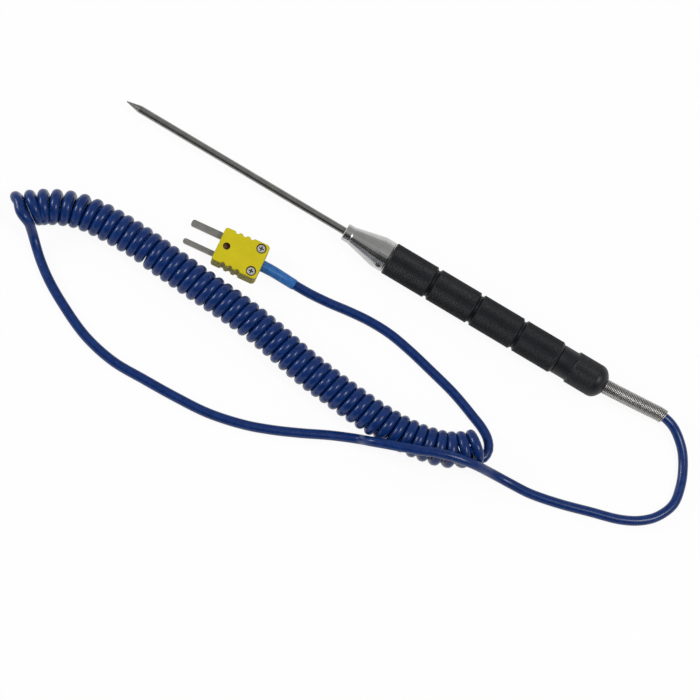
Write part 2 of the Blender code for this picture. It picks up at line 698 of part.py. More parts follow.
def lead_curve(jacket_x, coil_points):
    """Smooth curve of the lead from inside the handle to the side of the coil."""
    spring_end = MOUTH_X + SPRING_OUT
    points = [
        Vector((jacket_x, 0.0, AXIS_Z)),
        Vector((MOUTH_X - SPRING_SEATED, 0.0, AXIS_Z)),
        Vector((MOUTH_X, 0.0, AXIS_Z)),
        Vector((MOUTH_X + SPRING_OUT * 0.35, 0.6 * MM, AXIS_Z - 0.1 * MM)),
        Vector((MOUTH_X + SPRING_OUT * 0.7, 1.35 * MM, AXIS_Z - 0.3 * MM)),
        Vector((spring_end - 1.0 * MM, 1.9 * MM, AXIS_Z - 0.6 * MM)),
    ]
    points += [Vector((x * MM, y * MM, CORD_Z + z * MM)) for x, y, z in LEAD_ROUTE]
    totals = lengths_along(coil_points)
    meeting = point_at(coil_points, totals, LEAD_MEETS_COIL)
    ahead = point_at(coil_points, totals, LEAD_MEETS_COIL + CORD_DIAMETER)
    along = (ahead - meeting).normalized()
    outward = Vector((along.y, -along.x, 0.0))
    wall = COIL_DIAMETER / 2 + CORD_GAP
    rise = Vector((0.0, 0.0, 0.8 * MM))
    points.append(meeting + outward * (wall + 1.6 * CORD_DIAMETER) - rise * 2.6)
    points.append(meeting + outward * (wall + 0.6 * CORD_DIAMETER) - rise * 0.4)
    points.append(meeting + outward * wall)
    return points


def build_cord(finishes, jacket_x):
    """Lead, coil and plug lead, with the strain spring on the lead."""
    coil_route = smooth_curve([Vector((x * MM, y * MM, COIL_Z)) for x, y in COIL_ROUTE])
    route = lead_curve(jacket_x, coil_route)
    dense = smooth_curve(route)
    tube("lead_cord", evenly(dense, CORD_STEP), CORD_DIAMETER, finishes["cord_blue"])
    tube("coil_cord", evenly(coil_route, COIL_STEP), COIL_DIAMETER, finishes["cord_blue"], 4)
    start = MOUTH_X - SPRING_SEATED - jacket_x
    axis = evenly(dense, SPRING_WIRE, start, start + SPRING_SEATED + SPRING_OUT)
    helix_wire("strain_spring", axis, SPRING_DIAMETER, SPRING_WIRE, SPRING_PITCH, finishes["spring_steel"])
    return coil_route


def side_outline():
    """One long side of the plug's outline, from the front corner to the rear corner, with its finger notches."""
    front_half = PLUG_FRONT_WIDTH / 2
    rear_half = PLUG_REAR_WIDTH / 2
    points = []
    for step in range(CORNER_STEPS + 1):
        angle = math.pi / 2 * step / CORNER_STEPS
        x = -PLUG_LENGTH / 2 + PLUG_FRONT_CORNER * (1 - math.cos(angle))
        points.append((x, front_half - PLUG_FRONT_CORNER * (1 - math.sin(angle))))
    rise = NOTCH_RADIUS - NOTCH_DEPTH
    half_chord = math.sqrt(NOTCH_RADIUS**2 - rise**2)
    spread = math.atan2(half_chord, rise)
    for index in range(NOTCH_COUNT):
        middle = NOTCH_CENTRE + NOTCH_PITCH * (index - (NOTCH_COUNT - 1) / 2)
        for step in range(NOTCH_STEPS + 1):
            part = (index + step / NOTCH_STEPS) / NOTCH_COUNT
            angle = -spread + 2 * spread * step / NOTCH_STEPS
            half = front_half + (rear_half - front_half) * part
            points.append((middle + NOTCH_RADIUS * math.sin(angle), half + rise - NOTCH_RADIUS * math.cos(angle)))
    for step in range(CORNER_STEPS + 1):
        angle = math.pi / 2 * step / CORNER_STEPS
        x = PLUG_LENGTH / 2 - PLUG_REAR_CORNER * (1 - math.sin(angle))
        points.append((x, rear_half - PLUG_REAR_CORNER * (1 - math.cos(angle))))
    return points


def plug_shell(name, low, high, material, outer_low):
    """One moulded half of the plug: the outline extruded, with its outer edge rounded."""
    upper = side_outline()
    outline = upper + [(x, -y) for x, y in reversed(upper)]
    bm = bmesh.new()
    bottom = bm.faces.new([bm.verts.new((x, y, low)) for x, y in outline])
    raised = bmesh.ops.extrude_face_region(bm, geom=[bottom])
    bmesh.ops.translate(
        bm, vec=(0, 0, high - low), verts=[g for g in raised["geom"] if isinstance(g, bmesh.types.BMVert)],
    )
    level = low if outer_low else high
    rim = [e for e in bm.edges if all(abs(v.co.z - level) < PLUG_SEAM / 10 for v in e.verts)]
    bmesh.ops.bevel(bm, geom=rim, offset=PLUG_EDGE, segments=2, profile=0.5, affect="EDGES")
    return place(name, mesh_from(name, bm), material)


def build_blade(name, side, width, empty, material):
    """A flat contact blade with a rounded tip, a wide tab and a screw hole."""
    front = -PLUG_LENGTH / 2
    tip = front - BLADE_OUT
    shoulder = front + FRONT_WALL
    end = shoulder + TAB_LENGTH
    half = width / 2
    round_tip = min(BLADE_TIP_RADIUS, half * 0.9)
    upper = []
    for step in range(CORNER_STEPS + 1):
        angle = math.pi / 2 * step / CORNER_STEPS
        x = tip + round_tip * (1 - math.cos(angle))
        upper.append((x, half - round_tip * (1 - math.sin(angle))))
    upper += [(shoulder, half), (shoulder, TAB_WIDTH / 2), (end, TAB_WIDTH / 2)]
    outline = upper + [(x, -y) for x, y in reversed(upper)]
    bm = bmesh.new()
    low = PLUG_HEIGHT / 2 - BLADE_THICKNESS / 2
    bottom = bm.faces.new([bm.verts.new((x, side + y, low)) for x, y in outline])
    raised = bmesh.ops.extrude_face_region(bm, geom=[bottom])
    bmesh.ops.translate(
        bm, vec=(0, 0, BLADE_THICKNESS), verts=[g for g in raised["geom"] if isinstance(g, bmesh.types.BMVert)],
    )
    blade = place(name, mesh_from(name, bm), material)
    blade.parent = empty
    hole = cylinder_mesh(f"{name}_hole", TERMINAL_SHANK_DIAMETER + 2 * SEAT, 0.0, PLUG_HEIGHT)
    middle = Matrix.Translation((end - TAB_SCREW_FROM_END, side, 0.0))
    cut(blade, cutter(f"{name}_hole", hole, middle, empty))
    return blade


def screw_mesh(name, head_diameter, head_height, shank_diameter, shank_length):
    """A screw along local Z with its head's underside at zero."""
    edge = head_height / 3
    outline = [
        (0.0, -shank_length),
        (shank_diameter / 2, -shank_length),
        (shank_diameter / 2, 0.0),
        (head_diameter / 2, 0.0),
        (head_diameter / 2, head_height - edge),
        (head_diameter / 2 - edge, head_height),
        (0.0, head_height),
    ]
    bm = bmesh.new()
    verts = [bm.verts.new((radius, 0.0, z)) for radius, z in outline]
    edges = [bm.edges.new(pair) for pair in zip(verts, verts[1:])]
    bmesh.ops.spin(
        bm, geom=verts + edges, cent=(0, 0, 0), axis=(0, 0, 1), angle=2 * math.pi, steps=20,
        use_merge=True, use_duplicate=False,
    )
    bmesh.ops.remove_doubles(bm, verts=bm.verts, dist=1e-7)
    return mesh_from(name, bm)


def build_plug(finishes):
    """The two moulded halves, the blades and all their screws, in the plug's own frame."""
    empty = bpy.data.objects.new("plug_frame", None)
    bpy.context.scene.collection.objects.link(empty)
    empty.location = (PLUG_CENTRE_X, PLUG_CENTRE_Y, 0.0)
    empty.rotation_euler = (0.0, 0.0, PLUG_TURN)
    front = -PLUG_LENGTH / 2
    rear = PLUG_LENGTH / 2
    middle = PLUG_HEIGHT / 2
    yellow = finishes["plug_yellow"]
    base = plug_shell("plug_base", 0.0, middle - PLUG_SEAM / 2, yellow, True)
    cover = plug_shell("plug_cover", middle + PLUG_SEAM / 2, PLUG_HEIGHT, yellow, False)
    base.parent = empty
    cover.parent = empty

    eye_x = front + EYE_FROM_FRONT
    eye = cylinder_mesh("plug_eye", EYE_DIAMETER, -PLUG_HEIGHT, 2 * PLUG_HEIGHT, 20)
    eye_tool = cutter("plug_eye", eye, Matrix.Translation((eye_x, 0.0, 0.0)), empty)
    entry = cylinder_mesh("sleeve_entry", SLEEVE_DIAMETER + 2 * SEAT, 0.0, PLUG_LENGTH, 20)
    entry_tool = cutter("sleeve_entry", entry, along_x(rear - SLEEVE_IN_PLUG - FACE_GAP, 0.0, middle), empty)
    way_x = rear - JACKET_IN_PLUG - FACE_GAP
    channel = cylinder_mesh("cord_channel", CORD_BORE, 0.0, JACKET_IN_PLUG, 20)
    channel_tool = cutter("cord_channel", channel, along_x(way_x, 0.0, middle), empty)
    way = box_mesh(
        "wire_way", (way_x - WIRE_WAY_LENGTH, -WIRE_WAY_WIDTH / 2, middle - WIRE_WAY_DEPTH),
        (way_x + FACE_GAP, WIRE_WAY_WIDTH / 2, middle + WIRE_WAY_DEPTH + BLADE_THICKNESS / 2),
    )
    way_tool = cutter("wire_way", way, None, empty)
    cut(base, eye_tool, entry_tool, channel_tool, way_tool)
    cut(cover, eye_tool, entry_tool, channel_tool, way_tool)

    head_z = middle + BLADE_THICKNESS / 2 + CONDUCTOR_DIAMETER + FACE_GAP
    tab_end = front + FRONT_WALL + TAB_LENGTH
    screw_x = tab_end - TAB_SCREW_FROM_END
    pocket_half = TAB_WIDTH / 2 + SEAT
    slab = BLADE_THICKNESS / 2 + SEAT
    ceiling = head_z + TERMINAL_HEAD_HEIGHT + HEAD_ROOM
    for sign, label, width, blade in (
        (1, "positive", WIDE_BLADE_WIDTH, "wide_blade"),
        (-1, "negative", NARROW_BLADE_WIDTH, "narrow_blade"),
    ):
        side = sign * BLADE_SPACING / 2
        build_blade(blade, side, width, empty, finishes["blade_alloy"])
        slot_half = width / 2 + SEAT
        shoulder = front + FRONT_WALL - SEAT
        slot = box_mesh(
            f"{label}_slot", (front - BLADE_OUT, side - slot_half, middle - slab),
            (shoulder + FRONT_WALL, side + slot_half, middle + slab),
        )
        pocket = box_mesh(
            f"{label}_pocket", (shoulder, side - pocket_half, middle - slab),
            (tab_end + SEAT, side + pocket_half, middle + slab),
        )
        chamber = box_mesh(
            f"{label}_chamber", (screw_x - TERMINAL_HEAD_DIAMETER / 2 - SEAT, side - pocket_half, middle),
            (tab_end + CHAMBER_REACH, side + pocket_half, ceiling),
        )
        shank_end = head_z - TERMINAL_SHANK_LENGTH - SCREW_HOLE_END
        shank = cylinder_mesh(f"{label}_shank", TERMINAL_SHANK_DIAMETER + 2 * SEAT, shank_end, middle)
        slot_tool = cutter(f"{label}_slot", slot, None, empty)
        pocket_tool = cutter(f"{label}_pocket", pocket, None, empty)
        chamber_tool = cutter(f"{label}_chamber", chamber, None, empty)
        shank_tool = cutter(f"{label}_shank", shank, Matrix.Translation((screw_x, side, 0.0)), empty)
        cut(base, slot_tool, pocket_tool, shank_tool)
        cut(cover, slot_tool, pocket_tool, chamber_tool)
        mesh = screw_mesh(
            f"{label}_terminal_screw", TERMINAL_HEAD_DIAMETER, TERMINAL_HEAD_HEIGHT,
            TERMINAL_SHANK_DIAMETER, TERMINAL_SHANK_LENGTH,
        )
        screw = place(f"{label}_terminal_screw", mesh, finishes["crimp_copper"])
        screw.parent = empty
        screw.location = (screw_x, side, head_z)
        slit = box_mesh(
            f"{label}_slit", (-TERMINAL_HEAD_DIAMETER, -TERMINAL_SLOT / 2, TERMINAL_HEAD_HEIGHT / 2),
            (TERMINAL_HEAD_DIAMETER, TERMINAL_SLOT / 2, 2 * TERMINAL_HEAD_HEIGHT),
        )
        cut(screw, cutter(f"{label}_slit", slit, Matrix.Translation((screw_x, side, head_z)), empty))
        build_plug_core(finishes, empty, sign, label, way_x, screw_x, tab_end)
    build_cover_screws(finishes, empty, base, cover)
    return empty


def build_plug_core(finishes, empty, sign, label, way_x, screw_x, tab_end):
    """A core from the jacket's end to under its clamp screw's head."""
    middle = PLUG_HEIGHT / 2
    on_tab = middle + BLADE_THICKNESS / 2 + CONDUCTOR_DIAMETER / 2 + FACE_GAP / 2
    beside = BLADE_SPACING / 2 - TERMINAL_SHANK_DIAMETER / 2 - CONDUCTOR_DIAMETER / 2 - SEAT
    stop = tab_end + FACE_GAP + SEAT
    thinned = CONDUCTOR_DIAMETER / CORE_DIAMETER
    points = [
        Vector((way_x, sign * CORE_SPACING / 2, middle)),
        Vector((way_x - CORE_DIAMETER / 2, sign * CORE_SPACING / 2, middle)),
        Vector((stop + CORE_DIAMETER, sign * beside, on_tab)),
        Vector((stop + FACE_GAP, sign * beside, on_tab)),
        Vector((stop, sign * beside, on_tab)),
        Vector((screw_x - TERMINAL_SHANK_DIAMETER / 2, sign * beside, on_tab)),
    ]
    radii = [1.0, 1.0, 1.0, 1.0, thinned, thinned]
    colour = finishes["core_yellow" if sign > 0 else "core_red"]
    core = tube(f"{label}_plug_core", points, CORE_DIAMETER, colour, 2, radii)
    core.parent = empty


def build_cover_screws(finishes, empty, base, cover):
    """Two cross-head screws in round recesses that hold the plug's halves together."""
    x = PLUG_LENGTH / 2 - COVER_SCREW_FROM_REAR
    seat_z = PLUG_HEIGHT - COVER_RECESS_DEPTH
    under_head = seat_z + SEAT
    for sign, label in ((1, "left"), (-1, "right")):
        at = Matrix.Translation((x, sign * COVER_SCREW_SPACING / 2, 0.0))
        recess_diameter = COVER_HEAD_DIAMETER + 2 * COVER_RECESS_WALL
        recess = cylinder_mesh(f"recess_{label}", recess_diameter, seat_z, 2 * PLUG_HEIGHT, 24)
        hole_end = under_head - COVER_SHANK_LENGTH - SCREW_HOLE_END
        shank_hole = COVER_SHANK_DIAMETER + 2 * SEAT
        hole = cylinder_mesh(f"cover_hole_{label}", shank_hole, hole_end, 2 * PLUG_HEIGHT)
        hole_tool = cutter(f"cover_hole_{label}", hole, at, empty)
        cut(cover, cutter(f"recess_{label}", recess, at, empty), hole_tool)
        cut(base, hole_tool)
        name = f"cover_screw_{label}"
        mesh = screw_mesh(name, COVER_HEAD_DIAMETER, COVER_HEAD_HEIGHT, COVER_SHANK_DIAMETER, COVER_SHANK_LENGTH)
        screw = place(name, mesh, finishes["screw_steel"])
        screw.parent = empty
        screw.location = (x, sign * COVER_SCREW_SPACING / 2, under_head)
        top = under_head + COVER_HEAD_HEIGHT
        for turn in (0, 1):
            half = (CROSS_LENGTH / 2, CROSS_WIDTH / 2) if turn == 0 else (CROSS_WIDTH / 2, CROSS_LENGTH / 2)
            arm = box_mesh(f"cross_{label}_{turn}", (-half[0], -half[1], top - CROSS_DEPTH), (*half, top + SEAT))
            cut(screw, cutter(f"cross_{label}_{turn}", arm, at, empty))


def build_plug_lead(finishes, coil_route):
    """The cord from the plug through its shrink sleeve to the coil's end face."""
    frame = Matrix.Translation((PLUG_CENTRE_X, PLUG_CENTRE_Y, 0.0)) @ Matrix.Rotation(PLUG_TURN, 4, "Z")
    rear = PLUG_LENGTH / 2
    middle = PLUG_HEIGHT / 2
    end = rear + SLEEVE_OUT
    end_z = SLEEVE_END_DIAMETER / 2 + CORD_REST
    inside = [
        Vector((rear - JACKET_IN_PLUG, 0.0, middle)),
        Vector((rear, 0.0, middle)),
        Vector((rear + SLEEVE_OUT * 0.3, -SLEEVE_DRIFT * 0.1, middle - (middle - end_z) * 0.25)),
        Vector((rear + SLEEVE_OUT * 0.65, -SLEEVE_DRIFT * 0.45, middle - (middle - end_z) * 0.78)),
        Vector((end, -SLEEVE_DRIFT, end_z)),
    ]
    points = [frame @ point for point in inside]
    points += [Vector((x * MM, y * MM, CORD_Z)) for x, y in PLUG_ROUTE]
    along = (coil_route[-1] - coil_route[-4]).normalized()
    across = Vector((along.y, -along.x, 0.0))
    face = coil_route[-1] + across * PLUG_LEAD_OFFSET
    face.z = CORD_Z
    points.append(face + along * (CORD_GAP + CORD_DIAMETER / 2))
    points.append(face + along * CORD_GAP)
    dense = smooth_curve(points)
    tube("plug_lead", evenly(dense, CORD_STEP * 0.8), CORD_DIAMETER, finishes["cord_blue"])
    start = JACKET_IN_PLUG - SLEEVE_IN_PLUG
    path = evenly(dense, SLEEVE_OUT / 7, start, JACKET_IN_PLUG + SLEEVE_OUT)
    last = len(path) - 1
    radii = [(SLEEVE_DIAMETER + (SLEEVE_END_DIAMETER - SLEEVE_DIAMETER) * i / last) / 2 for i in range(last + 1)]
    swept_pipe("plug_sleeve", path, radii, CORD_BORE / 2, finishes["sleeve_blue"])


def build():
    """Make the whole probe."""
    clear_scene()
    finishes = make_finishes()
    build_sheath(finishes)
    build_sheath_filling(finishes)
    build_nose(finishes)
    build_grip(finishes)
    build_tail(finishes)
    jacket_x = build_joint_inside_grip(finishes)
    coil_route = build_cord(finishes, jacket_x)
    build_plug(finishes)
    build_plug_lead(finishes, coil_route)


build()
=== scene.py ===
# %% [markdown]
# # A thermocouple probe with a curly cord
#
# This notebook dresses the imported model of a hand-held temperature probe: a thin steel needle in a turned nose, a
# knurled black handle, a fine spring round the cord, a curly blue cord and a yellow two-blade plug.
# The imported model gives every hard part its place. We keep the parts whose shape is right, and remake the ones whose
# real surface needs more geometry than a solid model carries: the knurling, the spring and the turns of the cord.

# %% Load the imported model
import json
import math

import bpy
from mathutils import Matrix, Vector


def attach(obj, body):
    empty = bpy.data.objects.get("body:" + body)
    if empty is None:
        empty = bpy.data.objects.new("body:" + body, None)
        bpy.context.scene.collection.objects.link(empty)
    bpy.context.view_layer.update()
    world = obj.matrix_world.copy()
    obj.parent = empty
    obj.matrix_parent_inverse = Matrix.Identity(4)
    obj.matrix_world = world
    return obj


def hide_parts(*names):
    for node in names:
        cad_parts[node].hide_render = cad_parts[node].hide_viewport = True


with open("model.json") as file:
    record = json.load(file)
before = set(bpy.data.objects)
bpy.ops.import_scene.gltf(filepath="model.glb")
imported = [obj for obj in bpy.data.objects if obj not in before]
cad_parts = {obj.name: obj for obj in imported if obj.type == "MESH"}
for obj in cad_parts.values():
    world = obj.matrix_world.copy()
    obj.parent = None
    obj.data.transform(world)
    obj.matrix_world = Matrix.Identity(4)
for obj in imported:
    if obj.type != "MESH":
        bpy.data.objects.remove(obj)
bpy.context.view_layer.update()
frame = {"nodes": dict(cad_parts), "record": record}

# %% [markdown]
# ## Working in millimetres
#
# The scene is in metres, but a maker reads a drawing in millimetres. One helper turns a drawing's numbers into a
# vector in metres. Every object here, be it a mesh, a curve, a lamp or the camera, is its own data with a name, so
# another helper puts such data into the scene.

# %% Lengths and objects
MM = 0.001
STRAIGHT_UP = Vector((0, 0, 1))


def mm(*values):
    """A point of the drawing, in millimetres, as a vector in metres."""
    return Vector(values) * MM


def in_mm(vector):
    """A vector in metres as rounded millimetres, for printing."""
    return [round(value / MM, 1) for value in vector]


def add_object(name, data):
    """Put a mesh, curve, lamp or camera into the scene."""
    made = bpy.data.objects.new(name, data)
    bpy.context.collection.objects.link(made)
    return made


print("one millimetre is", MM, "of the scene's units")

# %% [markdown]
# ## Smooth lines through measured points
#
# A cord is measured at a few points, and between them it bends as evenly as a draughtsman's spline. Blender's own
# curves have handles to set for every point. We take the kind of spline that passes through its points by itself,
# with its pace set by the square root of each gap, because that kind never makes a loop of its own.

# %% Smooth lines
def smooth_line(points, step):
    """A smooth curve through the points, as a dense list of points about one step apart."""
    ends = [2 * points[0] - points[1], *points, 2 * points[-1] - points[-2]]
    dense = []
    for p0, p1, p2, p3 in zip(ends, ends[1:], ends[2:], ends[3:]):
        t0 = 0.0
        t1 = t0 + math.sqrt((p1 - p0).length)
        t2 = t1 + math.sqrt((p2 - p1).length)
        t3 = t2 + math.sqrt((p3 - p2).length)
        count = max(1, round((p2 - p1).length / step))
        for index in range(count):
            t = t1 + (t2 - t1) * index / count
            a1 = p0.lerp(p1, (t - t0) / (t1 - t0))
            a2 = p1.lerp(p2, (t - t1) / (t2 - t1))
            a3 = p2.lerp(p3, (t - t2) / (t3 - t2))
            b1 = a1.lerp(a2, (t - t0) / (t2 - t0))
            b2 = a2.lerp(a3, (t - t1) / (t3 - t1))
            dense.append(b1.lerp(b2, (t - t1) / (t2 - t1)))
    dense.append(points[-1].copy())
    return dense


def distances(points):
    """How far along the line each of its points lies."""
    total = [0.0]
    for a, b in zip(points, points[1:]):
        total.append(total[-1] + (b - a).length)
    return total


def between(table, place):
    """Read a table of (place, value) pairs at any place, in straight steps."""
    if place <= table[0][0]:
        return table[0][1]
    for (x0, y0), (x1, y1) in zip(table, table[1:]):
        if place <= x1:
            return y0 + (y1 - y0) * (place - x0) / (x1 - x0)
    return table[-1][1]


corner = [mm(0, 0, 0), mm(10, 0, 0), mm(10, 10, 0)]
print("a 10 mm corner becomes", round(distances(smooth_line(corner, MM))[-1] / MM, 2), "mm of smooth line")

# %% [markdown]
# ## The camera
#
# A catalogue photographer hangs the camera almost straight above the table and turns it, so that the probe lies
# across the picture's diagonal. We could drag a camera about until it fits; measuring is surer. The tilt, the turn
# and the distance below come from the known sizes of the probe, and the matrix is built from them.

# %% Camera
CAMERA_TILT = math.radians(73.0)
CAMERA_TURN = math.radians(30.80)
LENS = 120.0
SENSOR = 36.0
LOOK_AT = mm(16.1, -38.5, 0)
CAMERA_DISTANCE = 906.46 * MM
NEAREST = 0.05
FARTHEST = 20.0

camera_data = bpy.data.cameras.new("camera")
camera_data.lens = LENS
camera_data.sensor_width = SENSOR
camera_data.clip_start = NEAREST
camera_data.clip_end = FARTHEST
camera = add_object("camera", camera_data)

backward = Vector((0, -math.cos(CAMERA_TILT), math.sin(CAMERA_TILT)))
level_up = Vector((0, math.sin(CAMERA_TILT), math.cos(CAMERA_TILT)))
level_right = Vector((1, 0, 0))
photo_right = math.cos(CAMERA_TURN) * level_right + math.sin(CAMERA_TURN) * level_up
photo_up = math.cos(CAMERA_TURN) * level_up - math.sin(CAMERA_TURN) * level_right
turned = Matrix((photo_right, photo_up, backward)).transposed()
camera.matrix_world = Matrix.Translation(LOOK_AT + CAMERA_DISTANCE * backward) @ turned.to_4x4()
bpy.context.scene.camera = camera
print("camera at", in_mm(camera.matrix_world.translation), "mm")

# %% [markdown]
# ## The cord's route
#
# The cord is one length of cable just under 4 mm thick. It leaves the tail through the spring, lies in a wide bend,
# climbs over the curly part, lies along the table to the far left, goes over the first loop and into the curly part,
# comes back out at the right and ends in the plug. It could be left to a physics simulation, but a route of measured
# points keeps it where the real one lay. The third number in the two long tables is the cord's lift off the table.

# %% Points of the straight parts
PROBE_AXIS = 6.7
CORD_RADIUS = 1.93 * MM
CORD_LEVEL = 1.95

TAIL_MOUTH = 108.525
CORD_IN_HANDLE = 23.0
SPRING_OUT = 26.6
SPRING_SEATED = 4.7

SPRING_BEND = [
    (TAIL_MOUTH - CORD_IN_HANDLE, 0.0, PROBE_AXIS),
    (TAIL_MOUTH - SPRING_SEATED, 0.0, PROBE_AXIS),
    (TAIL_MOUTH, 0.0, PROBE_AXIS),
    (TAIL_MOUTH + 0.35 * SPRING_OUT, 0.6, PROBE_AXIS - 0.1),
    (TAIL_MOUTH + 0.7 * SPRING_OUT, 1.35, PROBE_AXIS - 0.3),
    (TAIL_MOUTH + SPRING_OUT - 1.0, 1.9, PROBE_AXIS - 0.6),
]

LEAD = [
    (138.6, 1.2, 3.4), (142.2, -0.2, 2.1), (147.8, -4.8, 0.6), (151.6, -10.8, 0), (154.1, -17.7, 0),
    (155, -25.7, 0), (151.7, -33.3, 0), (146.6, -38.3, 0), (139.5, -42.1, 0), (127.9, -45.6, 0),
    (116.1, -49.1, 0), (104.1, -51.7, 0), (95.5, -52.3, 0.1), (91.1, -52.7, 0.9), (86.4, -53.6, 3.3),
    (81.9, -55.2, 8), (78.5, -56.3, 10.7), (74.2, -57.5, 12.3), (70.2, -58.6, 13), (66, -60, 13.2),
    (62.5, -61.2, 13.1), (58.8, -62.8, 12.6), (55.2, -64, 12.2), (51.5, -65.3, 11.5), (47.7, -66.5, 10.6),
    (43.9, -67.6, 9.2), (40.6, -68.4, 7.3), (36.9, -68.3, 1.6), (33.2, -69.5, 0.3), (26.2, -72.6, 0),
    (15.9, -77.9, 0), (5.4, -82.8, 0), (-4.5, -86.5, 0), (-18.2, -89.7, 0), (-32, -90.8, 0), (-45.6, -91.2, 0),
    (-59.3, -91.3, 0), (-73.2, -88.4, 0), (-87.1, -82.2, 0), (-96.6, -76.8, 0), (-103.4, -71.8, 0),
    (-107.3, -68.4, 0.3), (-110.7, -65.4, 2), (-112.6, -64.1, 4.9), (-114, -63.4, 7.7), (-116.2, -63, 9.9),
    (-118.6, -61.9, 10.4),
]

PLUG_LEAD = [
    (77.5, -47.6, 0.1), (78.2, -49.4, 0), (79.5, -50.4, 0), (80.9, -50.1, 0), (81.8, -48.9, 0), (82.1, -47.2, 0),
    (81.9, -45.2, 0), (81.1, -43.5, 0), (79, -41.1, 0), (75.3, -38.8, 0), (70.2, -36.7, 0), (64.3, -34.4, 0),
    (58.1, -32.3, 0), (46.8, -29.4, 0), (36.3, -26.9, 0), (26.3, -25.2, 0), (17.1, -25, 0), (8.4, -25.8, 0),
    (0.1, -27, 0), (-8.5, -27.8, 0),
]
print(len(LEAD), "points to the coil and", len(PLUG_LEAD), "from the coil to the plug")

# %% [markdown]
# ## The coil's bent axis
#
# The curly part isn't straight: it rests on the table in a long shallow curve. Its axis is one more line through
# measured points, as high as the coil's outer radius, so that the turns just touch the table. Each turn needs to
# know where on the axis it is, which way the axis runs there and which way is sideways, so a helper looks that up.

# %% Axis of the coil
COIL_LEVEL = 7.1
AXIS_STEP = 0.5 * MM
LOOK_ALONG = 4
COIL_AXIS = [
    (-121.2, -60.75), (-115.8, -56.45), (-110.6, -52.8), (-101.9, -48.75), (-92.6, -47.15), (-83.4, -46.75),
    (-74.2, -46.85), (-64.9, -47.75), (-55.7, -48.45), (-46.4, -49.15), (-37.2, -49.75), (-28, -50.45),
    (-18.7, -51.55), (-9.5, -53.05), (-0.2, -54.95), (9, -56.45), (18.2, -57.45), (27.5, -58.35),
    (36.6, -58.95), (44.5, -59.05), (51.2, -58.65), (58.7, -57.6), (66.2, -55.6), (71.9, -52.5), (76.1, -48.9),
]
coil_line = smooth_line([mm(x, y, COIL_LEVEL) for x, y in COIL_AXIS], AXIS_STEP)
coil_along = distances(coil_line)
print("the curly part is", round(coil_along[-1] / MM, 1), "mm long")


def on_coil_line(place):
    """Point of the coil's bent axis, at a place in millimetres, and the directions along and across it there."""
    place *= MM
    last = len(coil_line) - 1
    low = 0
    high = last
    while high - low > 1:
        middle = (low + high) // 2
        if coil_along[middle] <= place:
            low = middle
        else:
            high = middle
    along = (coil_line[min(high + LOOK_ALONG, last)] - coil_line[max(low - LOOK_ALONG, 0)]).normalized()
    point = coil_line[low].lerp(coil_line[high], (place - coil_along[low]) / (coil_along[high] - coil_along[low]))
    return point, along, along.cross(STRAIGHT_UP)


# %% [markdown]
# ## The turns of the curly cord
#
# A curly cord is wound on a rod and set with heat, so its turns touch when it is at rest. Blender's screw modifier
# would give a perfect coil, but in a real one the turns are not quite evenly spaced, and each one leans a little. So
# every turn is placed by two tables: one says where along the coil some turns pass its far side, the other how far
# they lean there.

# %% Tables of the turns
COIL_RADIUS = 5.0
LOOP_GROWTH = [(0, 0.0), (43, 0.0), (46, 0.1), (49, 0.2)]
FIRST_TURN = -0.16
LAST_TURN = 48.22
POINTS_A_TURN = 22
START_ANGLE = math.radians(163.0)
THICKEST_TURN = 2.1
TURN_SPACE = 0.49

TURN_PLACES = [
    (-1, -5.0), (0, 0.3), (1, 5.6), (2, 10.5), (4, 20.1), (6, 29.7), (8, 38.3), (10, 46.7), (12, 54.7), (15, 67.5),
    (18, 80.3), (22, 96.6), (26, 112.5), (29, 124.5), (32, 137.0), (35, 149.2), (38, 161.7), (41, 174.1),
    (44, 186.5), (46, 195.3), (47, 199.8), (48, 203.9), (49, 208.4),
]
TURN_LEANS = [
    (0, 4.2), (3, 2.6), (5.6, 0.8), (10.5, -1.0), (15.3, -1.7), (20, -1.8), (45, -1.5), (52, -1.2), (57, -0.8),
    (62, -1.2), (69, -1.8), (82, -2.3), (103, -2.1), (108, -1.5), (115, -1.4), (122, -1.0), (134, -1.5), (140, -2.0),
    (168, -1.9), (180, -1.0), (190, -0.9), (196, -0.8), (200, 0.2), (204, 1.2), (208, 1.2),
]
print("the turns are", COIL_RADIUS, "mm in radius, from turn", FIRST_TURN, "to turn", LAST_TURN)


# %% [markdown]
# ## From the tables to points
#
# The points of a turn follow a circle that travels along the bent axis and swings back and forth by the turn's lean.
# One thickness for the whole cord would let close turns cut into each other, so a turn that is pressed against its
# neighbours is only as thick as the space it has.

# %% Place every turn
def coil_point(turns):
    """Centre of the cord after so many turns of the coil, and the pitch there."""
    place = between(TURN_PLACES, turns)
    pitch = between(TURN_PLACES, turns + 0.5) - between(TURN_PLACES, turns - 0.5)
    lean = between(TURN_LEANS, place) + pitch / 2
    swing = math.cos(2 * math.pi * turns)
    centre, along, across = on_coil_line(place + lean / 2)
    angle = START_ANGLE + 2 * math.pi * turns
    growth = between(LOOP_GROWTH, turns)
    ring = math.cos(angle) * across + math.sin(angle) * STRAIGHT_UP
    point = centre + (COIL_RADIUS + growth) * MM * ring - along * (lean / 2 * MM * swing)
    return point + mm(0, 0, growth), pitch


coil_points = []
coil_radii = []
steps = round((LAST_TURN - FIRST_TURN) * POINTS_A_TURN)
for index in range(steps + 1):
    point, pitch = coil_point(FIRST_TURN + (LAST_TURN - FIRST_TURN) * index / steps)
    coil_points.append(point)
    coil_radii.append(min(THICKEST_TURN, TURN_SPACE * pitch) * MM)
print(len(coil_points), "points in the curly part, from", in_mm(coil_points[0]), "to", in_mm(coil_points[-1]))

# %% [markdown]
# ## The plug's place
#
# The plug lies turned a few degrees from the probe. Its cord, sleeve and screws are all drawn in the plug's own
# directions, so one helper turns a point of the plug into a point of the scene. In the sleeve the cord comes down
# from the middle of the plug to the table and bends a little to one side.

